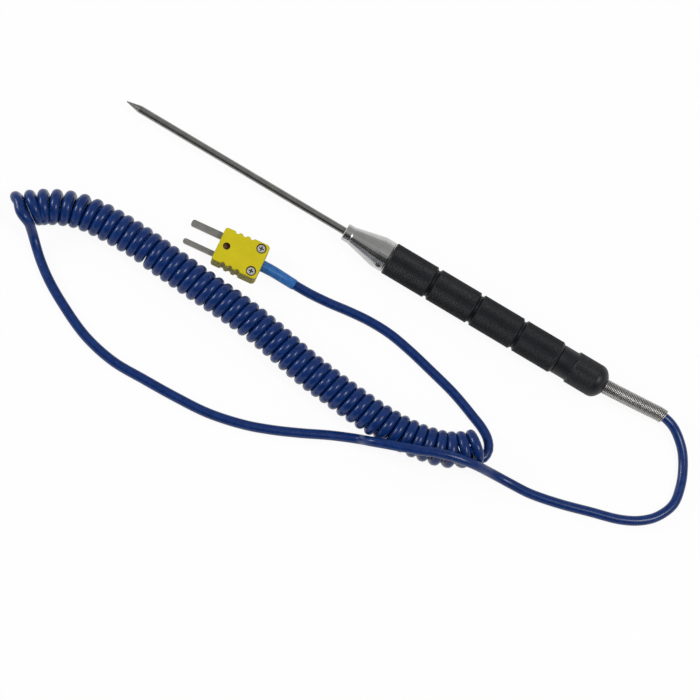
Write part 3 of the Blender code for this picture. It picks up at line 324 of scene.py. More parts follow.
# %% The plug's own directions
PLUG_CENTRE = mm(-39.3, -29.6, 0)
PLUG_TURN = math.radians(6.2)
PLUG_REAR = 9.45
SLEEVE_OUT = 14.7
CORD_IN_PLUG = 3.8
SLEEVE_END_LEVEL = 2.175
plug_forward = Vector((math.cos(PLUG_TURN), math.sin(PLUG_TURN), 0))
plug_side = Vector((-math.sin(PLUG_TURN), math.cos(PLUG_TURN), 0))


def in_plug(x, y, z):
    """A point of the plug's own drawing, in millimetres, as a point of the scene."""
    return PLUG_CENTRE + MM * (x * plug_forward + y * plug_side) + mm(0, 0, z)


sleeve_drop = CORD_IN_PLUG - SLEEVE_END_LEVEL
sleeve_line = [
    in_plug(PLUG_REAR + SLEEVE_OUT, -1.0, SLEEVE_END_LEVEL),
    in_plug(PLUG_REAR + 0.65 * SLEEVE_OUT, -0.45, CORD_IN_PLUG - 0.78 * sleeve_drop),
    in_plug(PLUG_REAR + 0.3 * SLEEVE_OUT, -0.1, CORD_IN_PLUG - 0.25 * sleeve_drop),
    in_plug(PLUG_REAR, 0, CORD_IN_PLUG),
    in_plug(PLUG_REAR - 4.3, 0, CORD_IN_PLUG),
]
print("the cord enters the plug at", in_mm(sleeve_line[3]), "and ends at", in_mm(sleeve_line[-1]))

# %% [markdown]
# ## One cord from the handle to the plug
#
# All the pieces of the route join into a single line, because a cord has no joints. Its straight parts are a little
# thinner than its turns, so the thickness eases from one to the other over a few points. A cord designer also wants
# to know the length and the tightest bend, so both are measured.

# %% Join the route
ROUTE_STEP = 1.5 * MM
EASE_IN = 16
EASE_OUT = 14
NEARLY_STRAIGHT = 0.0001


def cord_level(points):
    """Points of the route, with the cord's centre above the table by its level and the point's lift."""
    return [mm(x, y, CORD_LEVEL + lift) for x, y, lift in points]


def tightest_bend(points):
    """The smallest radius of the line, and where it is."""
    bends = []
    for before, here, after in zip(points, points[1:], points[2:]):
        angle = max((here - before).angle(after - here), NEARLY_STRAIGHT)
        bends.append(((after - before).length / 2 / angle, here))
    return min(bends, key=lambda bend: bend[0])


start_points = [mm(*point) for point in SPRING_BEND] + cord_level(LEAD)
lead_line = smooth_line(start_points + coil_points[:1], ROUTE_STEP)[:-1]
plug_line = smooth_line(coil_points[-1:] + cord_level(PLUG_LEAD) + sleeve_line, ROUTE_STEP)[1:]
cord_line = lead_line + coil_points + plug_line
cord_radii = [CORD_RADIUS] * len(lead_line) + coil_radii + [CORD_RADIUS] * len(plug_line)

coil_start = len(lead_line)
coil_end = coil_start + len(coil_points) - 1
for offset in range(EASE_IN):
    cord_radii[coil_start - EASE_IN + offset] += offset / EASE_IN * (cord_radii[coil_start] - CORD_RADIUS)
for offset in range(EASE_OUT):
    index = coil_end - offset
    cord_radii[index] = CORD_RADIUS + offset / EASE_OUT * (cord_radii[index] - CORD_RADIUS)

CORD_LENGTH = distances(cord_line)[-1]
bend_radius, bend_place = tightest_bend(cord_line)
print("the cord is", round(CORD_LENGTH, 3), "m long, in", len(cord_line), "points")
print("its tightest bend is", round(bend_radius / MM, 1), "mm, at", in_mm(bend_place))

# %% [markdown]
# ## A round cord from a line
#
# A swept tube could be built ring by ring, but Blender's curves do it for us: an open curve with a round bevel gets
# a thickness at every point and closed ends. The same helper serves the thick soft cord and the thin spring wire.

# %% Build the cord
CORD_ROUNDNESS = 5


def round_wire(name, points, radii, roundness):
    """A round wire or cord along the points, as a curve of one open spline."""
    curve = bpy.data.curves.new(name, "CURVE")
    curve.dimensions = "3D"
    curve.bevel_depth = 1.0
    curve.bevel_resolution = roundness
    curve.use_fill_caps = True
    spline = curve.splines.new("POLY")
    spline.points.add(len(points) - 1)
    for place, point, radius in zip(spline.points, points, radii):
        place.co = (*point, 1)
        place.radius = radius
    spline.use_smooth = True
    return add_object(name, curve)


cord = round_wire("curly_cord", cord_line, cord_radii, CORD_ROUNDNESS)
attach(cord, "root")
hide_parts("lead_cord", "coil_cord", "plug_lead")
print(cord.name, "is one spline of", len(cord.data.splines[0].points), "points")

# %% [markdown]
# ## The strain spring
#
# Where a cord leaves a handle it would kink and break, so a close-wound spring spreads the bend. It is hard steel
# wire, about half a millimetre thick, and its turns nearly touch. A striped texture could fake it, but the wire shows
# at the edges and in the highlights, so it is wound turn by turn round the cord's own line.

# %% Wind the spring
SPRING_WIRE = 0.54
SPRING_PITCH = 0.672
SPRING_INSET = 0.35
SPRING_POINTS_A_TURN = 18
SPRING_BASE_RADIUS = 2.82
SPRING_END_RADIUS = 2.66
SPRING_ROUNDNESS = 2

spring_line = smooth_line([mm(*point) for point in SPRING_BEND[1:]] + cord_level(LEAD[:1]), 0.25 * MM)
spring_along = distances(spring_line)
spring_length = (SPRING_OUT + SPRING_SEATED) * MM
spring_turns = spring_length / (SPRING_PITCH * MM)
spring_steps = round(spring_turns * SPRING_POINTS_A_TURN)
spring_points = []
cursor = 0
for index in range(spring_steps + 1):
    share = index / spring_steps
    place = SPRING_INSET * MM + share * (spring_length - 2 * SPRING_INSET * MM)
    while cursor < len(spring_along) - 2 and spring_along[cursor + 1] < place:
        cursor += 1
    part = (place - spring_along[cursor]) / (spring_along[cursor + 1] - spring_along[cursor])
    centre = spring_line[cursor].lerp(spring_line[cursor + 1], part)
    along = (spring_line[cursor + 1] - spring_line[cursor]).normalized()
    across = along.cross(STRAIGHT_UP).normalized()
    angle = 2 * math.pi * spring_turns * share
    radius = SPRING_BASE_RADIUS + share * (SPRING_END_RADIUS - SPRING_BASE_RADIUS)
    ring = math.cos(angle) * across + math.sin(angle) * across.cross(along)
    spring_points.append(centre + radius * MM * ring)

wire_radii = [SPRING_WIRE / 2 * MM] * len(spring_points)
spring = round_wire("strain_spring_wire", spring_points, wire_radii, SPRING_ROUNDNESS)
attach(spring, "root")
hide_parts("strain_spring")
print("the spring has", round(spring_turns, 1), "turns")

# %% [markdown]
# ## The cord's length outside the handle
#
# A cord is the one soft part, and its length outside the handle is printed here. On the real probe the spring and the
# plug with its sleeve, blades and screws hang on the cord and on nothing else.

print("outside the handle the cord is", round(CORD_LENGTH - CORD_IN_HANDLE * MM, 2), "m long")

# %% [markdown]
# ## The knurled handle
#
# Knurling is rolled into the bar by two toothed wheels, which leave rows of small pyramids. A bump texture looks
# right from above but leaves the outline smooth, so the pyramids are real here. A fine grid is laid round the bar
# with its points up and down in turn, like a chessboard, and each square is folded along its low diagonal. That
# makes the straight crossing grooves of a true knurl with only two triangles a square.

# %% The grid of a knurled bar
BAR_RADIUS = 6.7
TEETH_AROUND = 106
KNURL_STEP = 0.4
GRIP_KNURL = 0.17
TAIL_KNURL = 0.1


def ring_places(profile, knurl_depth):
    """Rings of a bar: place, radius and knurl depth, from stretches of (place, radius, knurled)."""
    rings = []
    for (x0, r0, knurled), (x1, r1, _) in zip(profile, profile[1:]):
        count = max(1, round((x1 - x0) / KNURL_STEP)) if knurled else 1
        for index in range(count):
            share = index / count
            deep = knurl_depth if knurled and index > 0 else 0.0
            rings.append((x0 + share * (x1 - x0), r0 + share * (r1 - r0), deep))
    rings.append((profile[-1][0], profile[-1][1], 0.0))
    return rings


def ring_points(rings, level):
    """Points of all rings, every second one of a knurled ring pressed in."""
    points = []
    for row, (x, radius, deep) in enumerate(rings):
        for tooth in range(TEETH_AROUND):
            angle = 2 * math.pi * tooth / TEETH_AROUND
            r = radius - (deep if (row + tooth) % 2 else 0.0)
            points.append(mm(x, r * math.cos(angle), level + r * math.sin(angle)))
    return points


def ring_faces(rings, outer_count):
    """Faces between neighbouring rings, and for each whether it belongs to the knurl."""
    faces = []
    flat = []
    for row in range(len(rings)):
        after = (row + 1) % len(rings)
        knurled = row < outer_count - 1 and (rings[row][2] > 0 or rings[after][2] > 0)
        for tooth in range(TEETH_AROUND):
            right = (tooth + 1) % TEETH_AROUND
            a = row * TEETH_AROUND + tooth
            b = after * TEETH_AROUND + tooth
            c = after * TEETH_AROUND + right
            d = row * TEETH_AROUND + right
            if not knurled:
                faces.append((a, d, c, b))
            elif (row + tooth) % 2:
                faces += [(a, d, c), (a, c, b)]
            else:
                faces += [(a, d, b), (d, c, b)]
            flat += [knurled] * (2 if knurled else 1)
    return faces, flat


tooth_width = 2 * math.pi * BAR_RADIUS / TEETH_AROUND
print("a tooth is", round(tooth_width, 2), "mm wide and", KNURL_STEP, "mm long")

# %% [markdown]
# ## From a profile to a bar
#
# A lathe cuts one profile all round, outside and in the bore. So a bar is a list of rings, first along the outside
# and then back through the bore, and the last ring joins the first: the mesh is closed, as a real bar is. Faces of
# the knurl stay flat so that they glint, and the turned faces are smooth up to their sharp edges. Blender forgets
# which faces are flat when it looks for sharp edges, so flatness is set after that.

# %% Turn a bar
EDGE_ANGLE = math.radians(30)


def turned_bar(name, profile, bore_profile, knurl_depth):
    """A bar turned to a profile, with a bore, as one closed mesh on the probe's axis."""
    outer = ring_places(profile, knurl_depth)
    rings = outer + [(x, radius, 0.0) for x, radius in bore_profile]
    faces, flat = ring_faces(rings, len(outer))
    mesh = bpy.data.meshes.new(name)
    mesh.from_pydata(ring_points(rings, PROBE_AXIS), [], faces)
    mesh.validate()
    mesh.set_sharp_from_angle(angle=EDGE_ANGLE)
    for face, is_flat in zip(mesh.polygons, flat):
        face.use_smooth = not is_flat
    piece = add_object(name, mesh)
    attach(piece, "root")
    print(name, "has", len(faces), "faces")
    return piece


# %% [markdown]
# ## The grip
#
# The grip is one tube with three turned grooves. On the real one the bar was knurled first and grooved after, and
# the grooves cut clean edges through the pyramids. Cutting a knurled mesh would leave slivers, so the profile simply
# runs down into each groove with small lips, and the knurl starts again behind it.

# %% Grip
GRIP_START = 10.875
GRIP_END = 87.375
FRONT_CHAMFER = 0.4
REAR_CHAMFER = 0.7
EDGE_STEP = 0.35
EDGE_DROP = 0.08
EDGE_LENGTH = 0.5
KNURL_END = 0.95
GROOVES = [30.375, 49.875, 69.375]
GROOVE_HALF = 0.95
GROOVE_FLOOR_HALF = 0.3
GROOVE_DEPTH = 0.95
LIP_LENGTH = 0.15
LIP_DROP = 0.25
WIRE_BORE = 4.3
SPIGOT_BORE = 5.0
FRONT_SPIGOT = 11.4
REAR_SPIGOT = 8.4
BORE_STEP = 0.1

grip_profile = [
    (GRIP_START, BAR_RADIUS - FRONT_CHAMFER, False), (GRIP_START + EDGE_STEP, BAR_RADIUS - EDGE_DROP, False),
    (GRIP_START + EDGE_LENGTH, BAR_RADIUS, True),
]
for groove in GROOVES:
    grip_profile += [
        (groove - GROOVE_HALF, BAR_RADIUS, False),
        (groove - GROOVE_HALF + LIP_LENGTH, BAR_RADIUS - LIP_DROP, False),
        (groove - GROOVE_FLOOR_HALF, BAR_RADIUS - GROOVE_DEPTH, False),
        (groove + GROOVE_FLOOR_HALF, BAR_RADIUS - GROOVE_DEPTH, False),
        (groove + GROOVE_HALF - LIP_LENGTH, BAR_RADIUS - LIP_DROP, False), (groove + GROOVE_HALF, BAR_RADIUS, True),
    ]
grip_profile += [
    (GRIP_END - KNURL_END, BAR_RADIUS, False), (GRIP_END - EDGE_LENGTH, BAR_RADIUS - LIP_DROP, False),
    (GRIP_END, BAR_RADIUS - REAR_CHAMFER, False),
]
grip_bore = [
    (GRIP_END, SPIGOT_BORE), (GRIP_END - REAR_SPIGOT, SPIGOT_BORE), (GRIP_END - REAR_SPIGOT - BORE_STEP, WIRE_BORE),
    (GRIP_START + FRONT_SPIGOT + BORE_STEP, WIRE_BORE), (GRIP_START + FRONT_SPIGOT, SPIGOT_BORE),
    (GRIP_START, SPIGOT_BORE),
]
grip = turned_bar("knurled_grip", grip_profile, grip_bore, GRIP_KNURL)
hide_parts("grip_tube")

# %% [markdown]
# ## The tail
#
# The tail is a second turned piece: a smooth neck, a short knurled length and a rounded end with a hole for the cord
# and the spring. Its dome follows an ellipse in a few steps. It could share one mesh with the grip, but they are two
# pieces on the real probe, and the knurl here is shallower.

# %% Tail
TAIL_START = 87.575
NECK_END = 93.675
NECK_RADIUS = 6.0
NECK_CHAMFER = 0.15
NECK_CORNER = 0.1
NECK_FILLET = 0.05
DOME_START = 104.275
DOME_AXIS = 4.93
DOME_STEPS = 9
RIM = 0.2
RIM_EDGE = 0.05
RIM_DROP = 0.12
MOUTH_DROP = 0.32
SPRING_BORE = 3.12
CORD_BORE = 2.2
TAIL_SPIGOT = 8.0
TAIL_SPIGOT_RADIUS = 4.85

tail_profile = [
    (TAIL_START, NECK_RADIUS - NECK_CHAMFER, False), (TAIL_START + NECK_CHAMFER, NECK_RADIUS, False),
    (NECK_END - NECK_CORNER, NECK_RADIUS, False), (NECK_END, NECK_RADIUS + NECK_FILLET, False),
    (NECK_END + EDGE_STEP, BAR_RADIUS - EDGE_DROP, False), (NECK_END + EDGE_LENGTH, BAR_RADIUS, True),
]
for step in range(DOME_STEPS + 1):
    angle = step / DOME_STEPS * math.asin((TAIL_MOUTH - RIM - DOME_START) / DOME_AXIS)
    place = DOME_START + DOME_AXIS * math.sin(angle)
    tail_profile.append((place, BAR_RADIUS * math.cos(angle), step < DOME_STEPS))
rim_radius = tail_profile[-1][1]
tail_profile += [(TAIL_MOUTH - RIM_EDGE, rim_radius - RIM_DROP, False), (TAIL_MOUTH, rim_radius - MOUTH_DROP, False)]

spring_seat = TAIL_MOUTH - SPRING_SEATED - BORE_STEP
tail_bore = [
    (TAIL_MOUTH, SPRING_BORE), (spring_seat, SPRING_BORE), (spring_seat, CORD_BORE),
    (TAIL_START - TAIL_SPIGOT, CORD_BORE), (TAIL_START - TAIL_SPIGOT, TAIL_SPIGOT_RADIUS),
    (TAIL_START, TAIL_SPIGOT_RADIUS),
]
tail = turned_bar("knurled_tail", tail_profile, tail_bore, TAIL_KNURL)
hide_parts("tail_cap")

# %% [markdown]
# ## Shader maths as plain sums
#
# A procedural material is a small sum: mix this colour with that one, by a pattern, plus some wear. In the node
# editor each plus and times is a box to wire up. Here a small class wraps a socket, so that a sum is written as a
# sum: numbers become Math nodes, and colours go through Mix nodes, because a Math node would turn them grey.

# %% Sockets that can be added and multiplied
class Wire:
    """A node's output socket that takes part in sums."""

    def __init__(self, paint, socket):
        self.paint = paint
        self.socket = socket

    def sum(self, operation, first, second):
        """A Math node that works on two values or wires."""
        return self.paint.node("ShaderNodeMath", {"operation": operation}, {0: first, 1: second})

    def __add__(self, other):
        return self.sum("ADD", self, other)

    def __radd__(self, other):
        return self.sum("ADD", other, self)

    def __sub__(self, other):
        return self.sum("SUBTRACT", self, other)

    def __rsub__(self, other):
        return self.sum("SUBTRACT", other, self)

    def __mul__(self, other):
        return self.sum("MULTIPLY", self, other)

    def __rmul__(self, other):
        return self.sum("MULTIPLY", other, self)


print("wires can be added, subtracted and multiplied")

# %% [markdown]
# ## One way to add any other node
#
# Every other node is made by a single method that takes the node's type, its settings and the values or wires of its
# sockets. Settings come first, because some of them, such as a Mix node's data type, change the sockets. On top of
# it sit a few short names for what a finish uses again and again: a place, a noise, a ramp, a mix and a bump.

# %% Paint
class Paint:
    """A material, or another owner of a node tree, whose nodes are made by one method."""

    def __init__(self, name, owner=None):
        self.material = owner or bpy.data.materials.new(name)
        self.material.use_nodes = True
        self.tree = self.material.node_tree
        self.tree.nodes.clear()

    def node(self, kind, settings=None, inputs=None, output=0):
        """Add a node: its settings and ramp stops first, then the values or wires of its sockets."""
        made = self.tree.nodes.new(kind)
        for name, value in (settings or {}).items():
            if name == "stops":
                self.set_stops(made.color_ramp, value)
            else:
                setattr(made, name, value)
        for name, value in (inputs or {}).items():
            if isinstance(value, Wire):
                self.tree.links.new(value.socket, made.inputs[name])
            elif isinstance(value, tuple) and len(made.inputs[name].default_value) == 4:
                made.inputs[name].default_value = (*value, 1)
            else:
                made.inputs[name].default_value = value
        return None if output is None else Wire(self, made.outputs[output])

    def set_stops(self, ramp, stops):
        """Give a colour ramp its stops, as (place, colour) or (place, grey)."""
        while len(ramp.elements) > len(stops):
            ramp.elements.remove(ramp.elements[-1])
        while len(ramp.elements) < len(stops):
            ramp.elements.new(1.0)
        for element, (place, colour) in zip(ramp.elements, stops):
            element.position = place
            element.color = (*colour, 1) if isinstance(colour, tuple) else (colour, colour, colour, 1)

    def place(self):
        """Where a point is on the object, in millimetres."""
        spot = self.node("ShaderNodeTexCoord", output="Object")
        return self.node("ShaderNodeVectorMath", {"operation": "SCALE"}, {0: spot, "Scale": 1 / MM})

    def stretched(self, x, y, z):
        """The same place, with its three directions stretched, for brushed or drawn marks."""
        return self.node("ShaderNodeVectorMath", {"operation": "MULTIPLY"}, {0: self.place(), 1: (x, y, z)})

    def part(self, vector, axis):
        """One of a vector's three numbers."""
        return self.node("ShaderNodeSeparateXYZ", {}, {0: vector}, output=axis)

    def noise(self, place, scale, detail=3.0, roughness=0.55):
        """Cloudy patches between 0 and 1. A larger scale makes them smaller."""
        settings = {"Vector": place, "Scale": scale, "Detail": detail, "Roughness": roughness}
        return self.node("ShaderNodeTexNoise", {}, settings)

    def ramp(self, value, stops):
        """A colour for each value."""
        return self.node("ShaderNodeValToRGB", {"stops": stops}, {"Fac": value})

    def mix(self, share, first, second):
        """First colour where the share is 0, second where it is 1."""
        return self.node("ShaderNodeMix", {"data_type": "RGBA"}, {0: share, 6: first, 7: second}, output=2)

    def bump(self, height, depth):
        """A Normal from a height. The depth is in millimetres."""
        return self.node("ShaderNodeBump", {}, {"Height": height, "Distance": depth * MM, "Strength": 1.0})

    def looked_at(self):
        """1 for what the camera, a mirror or a glass sees, and 0 for light on its way to the object."""
        rays = ["Is Camera Ray", "Is Glossy Ray", "Is Transmission Ray"]
        camera_ray, glossy_ray, glass_ray = [self.node("ShaderNodeLightPath", output=ray) for ray in rays]
        return camera_ray + glossy_ray + glass_ray

    def finish(self, **sockets):
        """Close the material with one shader whose sockets are given by name."""
        names = {name.replace("_", " "): value for name, value in sockets.items()}
        shader = self.node("ShaderNodeBsdfPrincipled", {}, names)
        self.node("ShaderNodeOutputMaterial", {}, {"Surface": shader}, output=None)
        return self.material


FINISHES = {}
print("paint is ready")

# %% [markdown]
# ## Metals
#
# Drawn and turned steel is never a plain mirror. The drawing die leaves faint lines along the needle, the lathe
# leaves rings round the nose, and handling leaves soft patches. Each metal is one recipe: a bright and a dull tone,
# lines that run the way the tool ran, and a roughness that wanders.

# %% A recipe for worked metal
LINES_SHARE = 0.4
LINES_DULL = 0.14
PATCHES_POLISH = 0.06


def worked_metal(name, bright, dull, shine, lines, line_depth, patch=0.25):
    """Metal with tool lines. lines stretches the pattern: small numbers run long."""
    paint = Paint(name)
    streaks = paint.noise(paint.stretched(*lines), 1.0, 4.0, 0.6)
    patches = paint.noise(paint.place(), patch)
    worn = paint.ramp(patches * (1 - LINES_SHARE) + streaks * LINES_SHARE, [(0.35, 0.0), (0.65, 1.0)])
    return paint.finish(
        Base_Color=paint.mix(worn, dull, bright),
        Metallic=1.0,
        Roughness=shine + streaks * LINES_DULL - patches * PATCHES_POLISH,
        Normal=paint.bump(streaks, line_depth),
    )


METALS = {
    "sheath_steel": ("drawn_sheath_steel", (0.34, 0.335, 0.32), (0.22, 0.216, 0.208), 0.28, (0.03, 3, 3), 0.003),
    "nose_chrome": ("turned_nose_chrome", (0.56, 0.56, 0.555), (0.48, 0.48, 0.475), 0.22, (7, 0.2, 0.2), 0.0004),
    "spring_steel": ("spring_wire_steel", (0.50, 0.49, 0.465), (0.38, 0.37, 0.35), 0.36, (1, 1, 1), 0.004, 0.4),
    "screw_steel": ("plated_screw_steel", (0.66, 0.64, 0.62), (0.48, 0.46, 0.44), 0.26, (2, 2, 2), 0.02, 0.6),
    "blade_alloy": ("stamped_blade_alloy", (0.40, 0.39, 0.37), (0.28, 0.275, 0.26), 0.34, (0.3, 4, 1), 0.02),
    "wire_alloy": ("bare_wire_alloy", (0.58, 0.54, 0.48), (0.46, 0.43, 0.38), 0.3, (0.1, 4, 4), 0.01),
    "crimp_copper": ("tinned_crimp", (0.72, 0.67, 0.60), (0.58, 0.50, 0.42), 0.3, (2, 2, 2), 0.02, 0.5),
}
for slot, recipe in METALS.items():
    FINISHES[slot] = worked_metal(*recipe)
print(len(METALS), "metals mixed")

# %% [markdown]
# ## Black anodised knurl
#
# Anodising dyes the aluminium black, but its grain still glints on every flank of every pyramid. Wear and dust could
# be painted tooth by tooth. The shape carries the pattern already, so the material only adds a fine grain, a nearly
# neutral black with soft patches from handling, and a roughness that follows the grain.

# %% Grip finish
ANODISED_DARK = (0.0030, 0.0035, 0.0050)
ANODISED_WORN = (0.0085, 0.0096, 0.0130)
paint = Paint("black_anodised_grip")
grain = paint.noise(paint.place(), 3.2, 4.0, 0.65)
handling = paint.noise(paint.place(), 0.12, 2.0)
FINISHES["grip_black"] = paint.finish(
    Base_Color=paint.ramp(grain * 0.55 + handling * 0.45, [(0.32, ANODISED_DARK), (0.68, ANODISED_WORN)]),
    Metallic=0.0,
    Roughness=0.36 + grain * 0.2,
    Normal=paint.bump(grain, 0.005),
    Specular_IOR_Level=0.32,
)
print("grip finish:", FINISHES["grip_black"].name)

# %% [markdown]
# ## The cord's jacket
#
# The jacket is smooth flexible plastic with a wet-looking gloss. One flat blue would look like a drawing, so the deep
# blue gets a little lighter in soft waves, as an extruded jacket does. The same waves change its gloss, which keeps
# the highlight from being a ruled line.

# %% Cord finish
JACKET_DEEP = (0.0010, 0.013, 0.083)
JACKET_LIGHT = (0.0025, 0.029, 0.152)
paint = Paint("blue_cord_jacket")
ripple = paint.noise(paint.place(), 0.5)
speck = paint.noise(paint.place(), 2.4)
FINISHES["cord_blue"] = paint.finish(
    Base_Color=paint.ramp(ripple * 0.7 + speck * 0.3, [(0.3, JACKET_DEEP), (0.7, JACKET_LIGHT)]),
    Roughness=0.22 + ripple * 0.12,
    Normal=paint.bump(speck, 0.02),
    Specular_IOR_Level=0.32,
)
print("cord finish:", FINISHES["cord_blue"].name)

# %% [markdown]
# ## The shrink sleeve
#
# The sleeve is a tube that was slipped over the cord and shrunk with hot air. It is a lighter blue than the cord,
# duller, and wrinkled along its length where it pulled tight, so its noise is stretched that way.

# %% Sleeve finish
paint = Paint("shrunk_sleeve")
wrinkle = paint.noise(paint.stretched(0.4, 1, 1), 0.9, 4.0)
FINISHES["sleeve_blue"] = paint.finish(
    Base_Color=paint.ramp(wrinkle, [(0.35, (0.010, 0.088, 0.29)), (0.65, (0.026, 0.145, 0.41))]),
    Roughness=0.34 + wrinkle * 0.15,
    Normal=paint.bump(wrinkle, 0.1),
    Specular_IOR_Level=0.3,
)
print("sleeve finish:", FINISHES["sleeve_blue"].name)

# %% [markdown]
# ## The plug's moulded shell
#
# The plug is moulded glass-filled nylon: a warm yellow with a satin face. Its side walls are painted darker, as
# painted shade, and so are the eye and the screw recesses. The walls are found by the way they face, which is a
# property of the shape and not of the camera, and the holes by how far a point lies from their axes.

# %% Plug finish
EYE_FORWARD = -6.15
EYE_RADIUS = 1.4
SCREW_FORWARD = 6.45
SCREW_SIDE = 5.0
RECESS_RADIUS = 1.95
HOLES = [
    (EYE_FORWARD, 0, EYE_RADIUS), (SCREW_FORWARD, SCREW_SIDE, RECESS_RADIUS),
    (SCREW_FORWARD, -SCREW_SIDE, RECESS_RADIUS),
]
HOLE_EDGE = 0.12
HOLE_SHARPNESS = 10
# Painted shade: the dark brown that the eye and the screw recesses get inside their rims.
HOLE_PAINTED_SHADE = (0.09, 0.045, 0.012)


def from_axis(paint, x, y):
    """How far a point is from an upright axis of the plug, in millimetres."""
    foot = tuple(in_plug(x, y, 0) / MM)
    return paint.node("ShaderNodeVectorMath", {"operation": "DISTANCE"}, {0: paint.stretched(1, 1, 0), 1: foot}, 1)


paint = Paint("moulded_yellow_shell")
facing = paint.node("ShaderNodeTexCoord", output="Normal")
# Painted shade: faces that point sideways get the darker wall tone, a shaded copy of the yellow on top.
painted_wall_shade = paint.ramp(paint.part(facing, 2), [(0.25, 1.0), (0.75, 0.0)])
grain = paint.noise(paint.place(), 2.6, 4.0, 0.6)
flow = paint.noise(paint.place(), 0.16, 2.0)
top_tone = paint.ramp(flow * 0.6 + grain * 0.4, [(0.3, (0.48, 0.405, 0.004)), (0.7, (0.575, 0.485, 0.007))])
wall_tone = paint.ramp(grain, [(0.3, (0.24, 0.205, 0.004)), (0.7, (0.34, 0.29, 0.006))])
shell_tone = paint.mix(painted_wall_shade, top_tone, wall_tone)
# Painted shade: each hole is painted dark brown up to a little past its rim.
for forward, aside, radius in HOLES:
    depth_in = (radius + HOLE_EDGE - from_axis(paint, forward, aside)) * HOLE_SHARPNESS
    shell_tone = paint.mix(paint.ramp(depth_in, [(0.0, 0.0), (1.0, 1.0)]), shell_tone, HOLE_PAINTED_SHADE)
FINISHES["plug_yellow"] = paint.finish(
    Base_Color=shell_tone,
    Roughness=0.42 + grain * 0.16,
    Normal=paint.bump(grain, 0.035),
    Specular_IOR_Level=0.18,
)
print("plug finish:", FINISHES["plug_yellow"].name, "with", len(HOLES), "darker holes")

# %% [markdown]
# ## Parts nobody sees
#
# The ceramic rod, the resin seal and the cores are inside, but the part is taken apart in a library, so they get a
# finish too. One recipe with a grain and two tones serves them all.

# %% Finishes for the inner parts
def inner_finish(name, light, dark, shine, grain_size):
    """A plain dull finish with a grain."""
    paint = Paint(name)
    grain = paint.noise(paint.place(), grain_size)
    tone = paint.ramp(grain, [(0.35, dark), (0.65, light)])
    return paint.finish(Base_Color=tone, Roughness=shine + grain * 0.1, Normal=paint.bump(grain, 0.01))


INNER = {
    "ceramic_white": ("fired_ceramic", (0.80, 0.78, 0.73), (0.68, 0.66, 0.61), 0.6, 3.0),
    "resin_amber": ("cast_resin", (0.40, 0.20, 0.05), (0.28, 0.13, 0.03), 0.2, 1.0),
    "sleeving_clear": ("clear_sleeving", (0.60, 0.60, 0.57), (0.48, 0.48, 0.45), 0.4, 1.5),
    "core_yellow": ("yellow_core", (0.66, 0.53, 0.04), (0.56, 0.45, 0.02), 0.4, 1.5),
    "core_red": ("red_core", (0.55, 0.04, 0.03), (0.44, 0.02, 0.015), 0.4, 1.5),
}
for slot, recipe in INNER.items():
    FINISHES[slot] = inner_finish(*recipe)
print(len(INNER), "inner finishes mixed")

# %% [markdown]
# ## Screw heads
#
# The two cover screws are plated steel with a cross slot. Their heads keep the steel's tone only on top, and in the
# slot and down the side they are painted dark, as painted shade. The level of a point tells the two apart, so one ramp
# on the height is enough and no slot has to be painted. The two holes the screws sit in are part of the shell.

# %% Screw finish
HEAD_TOP = 7.4
SHADE_START_DEPTH = 0.2
# Painted shade: the colour of the screw below the top of its head, in the slot and down the side.
SCREW_SHADE = (0.05, 0.045, 0.04)
paint = Paint("cover_screw_steel")
level = paint.part(paint.place(), 2)
above_screw_shade = (level - HEAD_TOP + SHADE_START_DEPTH) * 6
top_steel_tone = paint.ramp(paint.noise(paint.place(), 2.0), [(0.35, (0.50, 0.49, 0.46)), (0.65, (0.72, 0.70, 0.67))])
cover_screw_steel = paint.finish(
    Base_Color=paint.mix(paint.ramp(above_screw_shade, [(0.1, 0.0), (0.9, 1.0)]), SCREW_SHADE, top_steel_tone),
    Metallic=0.8,
    Roughness=0.34 + level * 0.01,
    Normal=paint.bump(paint.noise(paint.place(), 5.0), 0.01),
)
print("screw finish:", cover_screw_steel.name)

# %% [markdown]
# ## The plug's eye
#
# The shell has a round eye near its blades. A little way down in it there is only dark brown, and no table through it.
# That dark brown is painted shade for the shaded inside of the hole. A painted spot on the shell would have no depth,
# so a thin dark disc closes the hole.

# %% Painted shade disc in the eye
EYE_SIDES = 40
EYE_CLEARANCE = 0.05
EYE_LEVELS = (4.8, 5.6)
disc = []
for level in EYE_LEVELS:
    for step in range(EYE_SIDES):
        angle = 2 * math.pi * step / EYE_SIDES
        radius = EYE_RADIUS - EYE_CLEARANCE
        disc.append(in_plug(EYE_FORWARD + radius * math.cos(angle), radius * math.sin(angle), level))
below = list(range(EYE_SIDES))
above = list(range(EYE_SIDES, 2 * EYE_SIDES))
around = [(a, below[(a + 1) % EYE_SIDES], above[(a + 1) % EYE_SIDES], above[a]) for a in below]
eye_mesh = bpy.data.meshes.new("eye_shade_disc")
eye_mesh.from_pydata(disc, [], [below[::-1], above, *around])
eye_shade_disc = add_object("eye_shade_disc", eye_mesh)
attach(eye_shade_disc, "root")
# Painted shade: the disc is dark brown in place of the shade inside the hole.
painted_shade_brown = inner_finish("painted_shade_eye_disc", (0.22, 0.10, 0.03), (0.15, 0.065, 0.018), 0.6, 2.0)
print("the eye is closed from", EYE_LEVELS[0], "to", EYE_LEVELS[1], "mm above the table")

# %% [markdown]
# ## Dressing the parts
#
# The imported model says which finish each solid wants. The solids come with flat faces, so they are made smooth up
# to a sharp edge, as a moulded or turned part is. The cover screws take their own finish instead of the plain one.

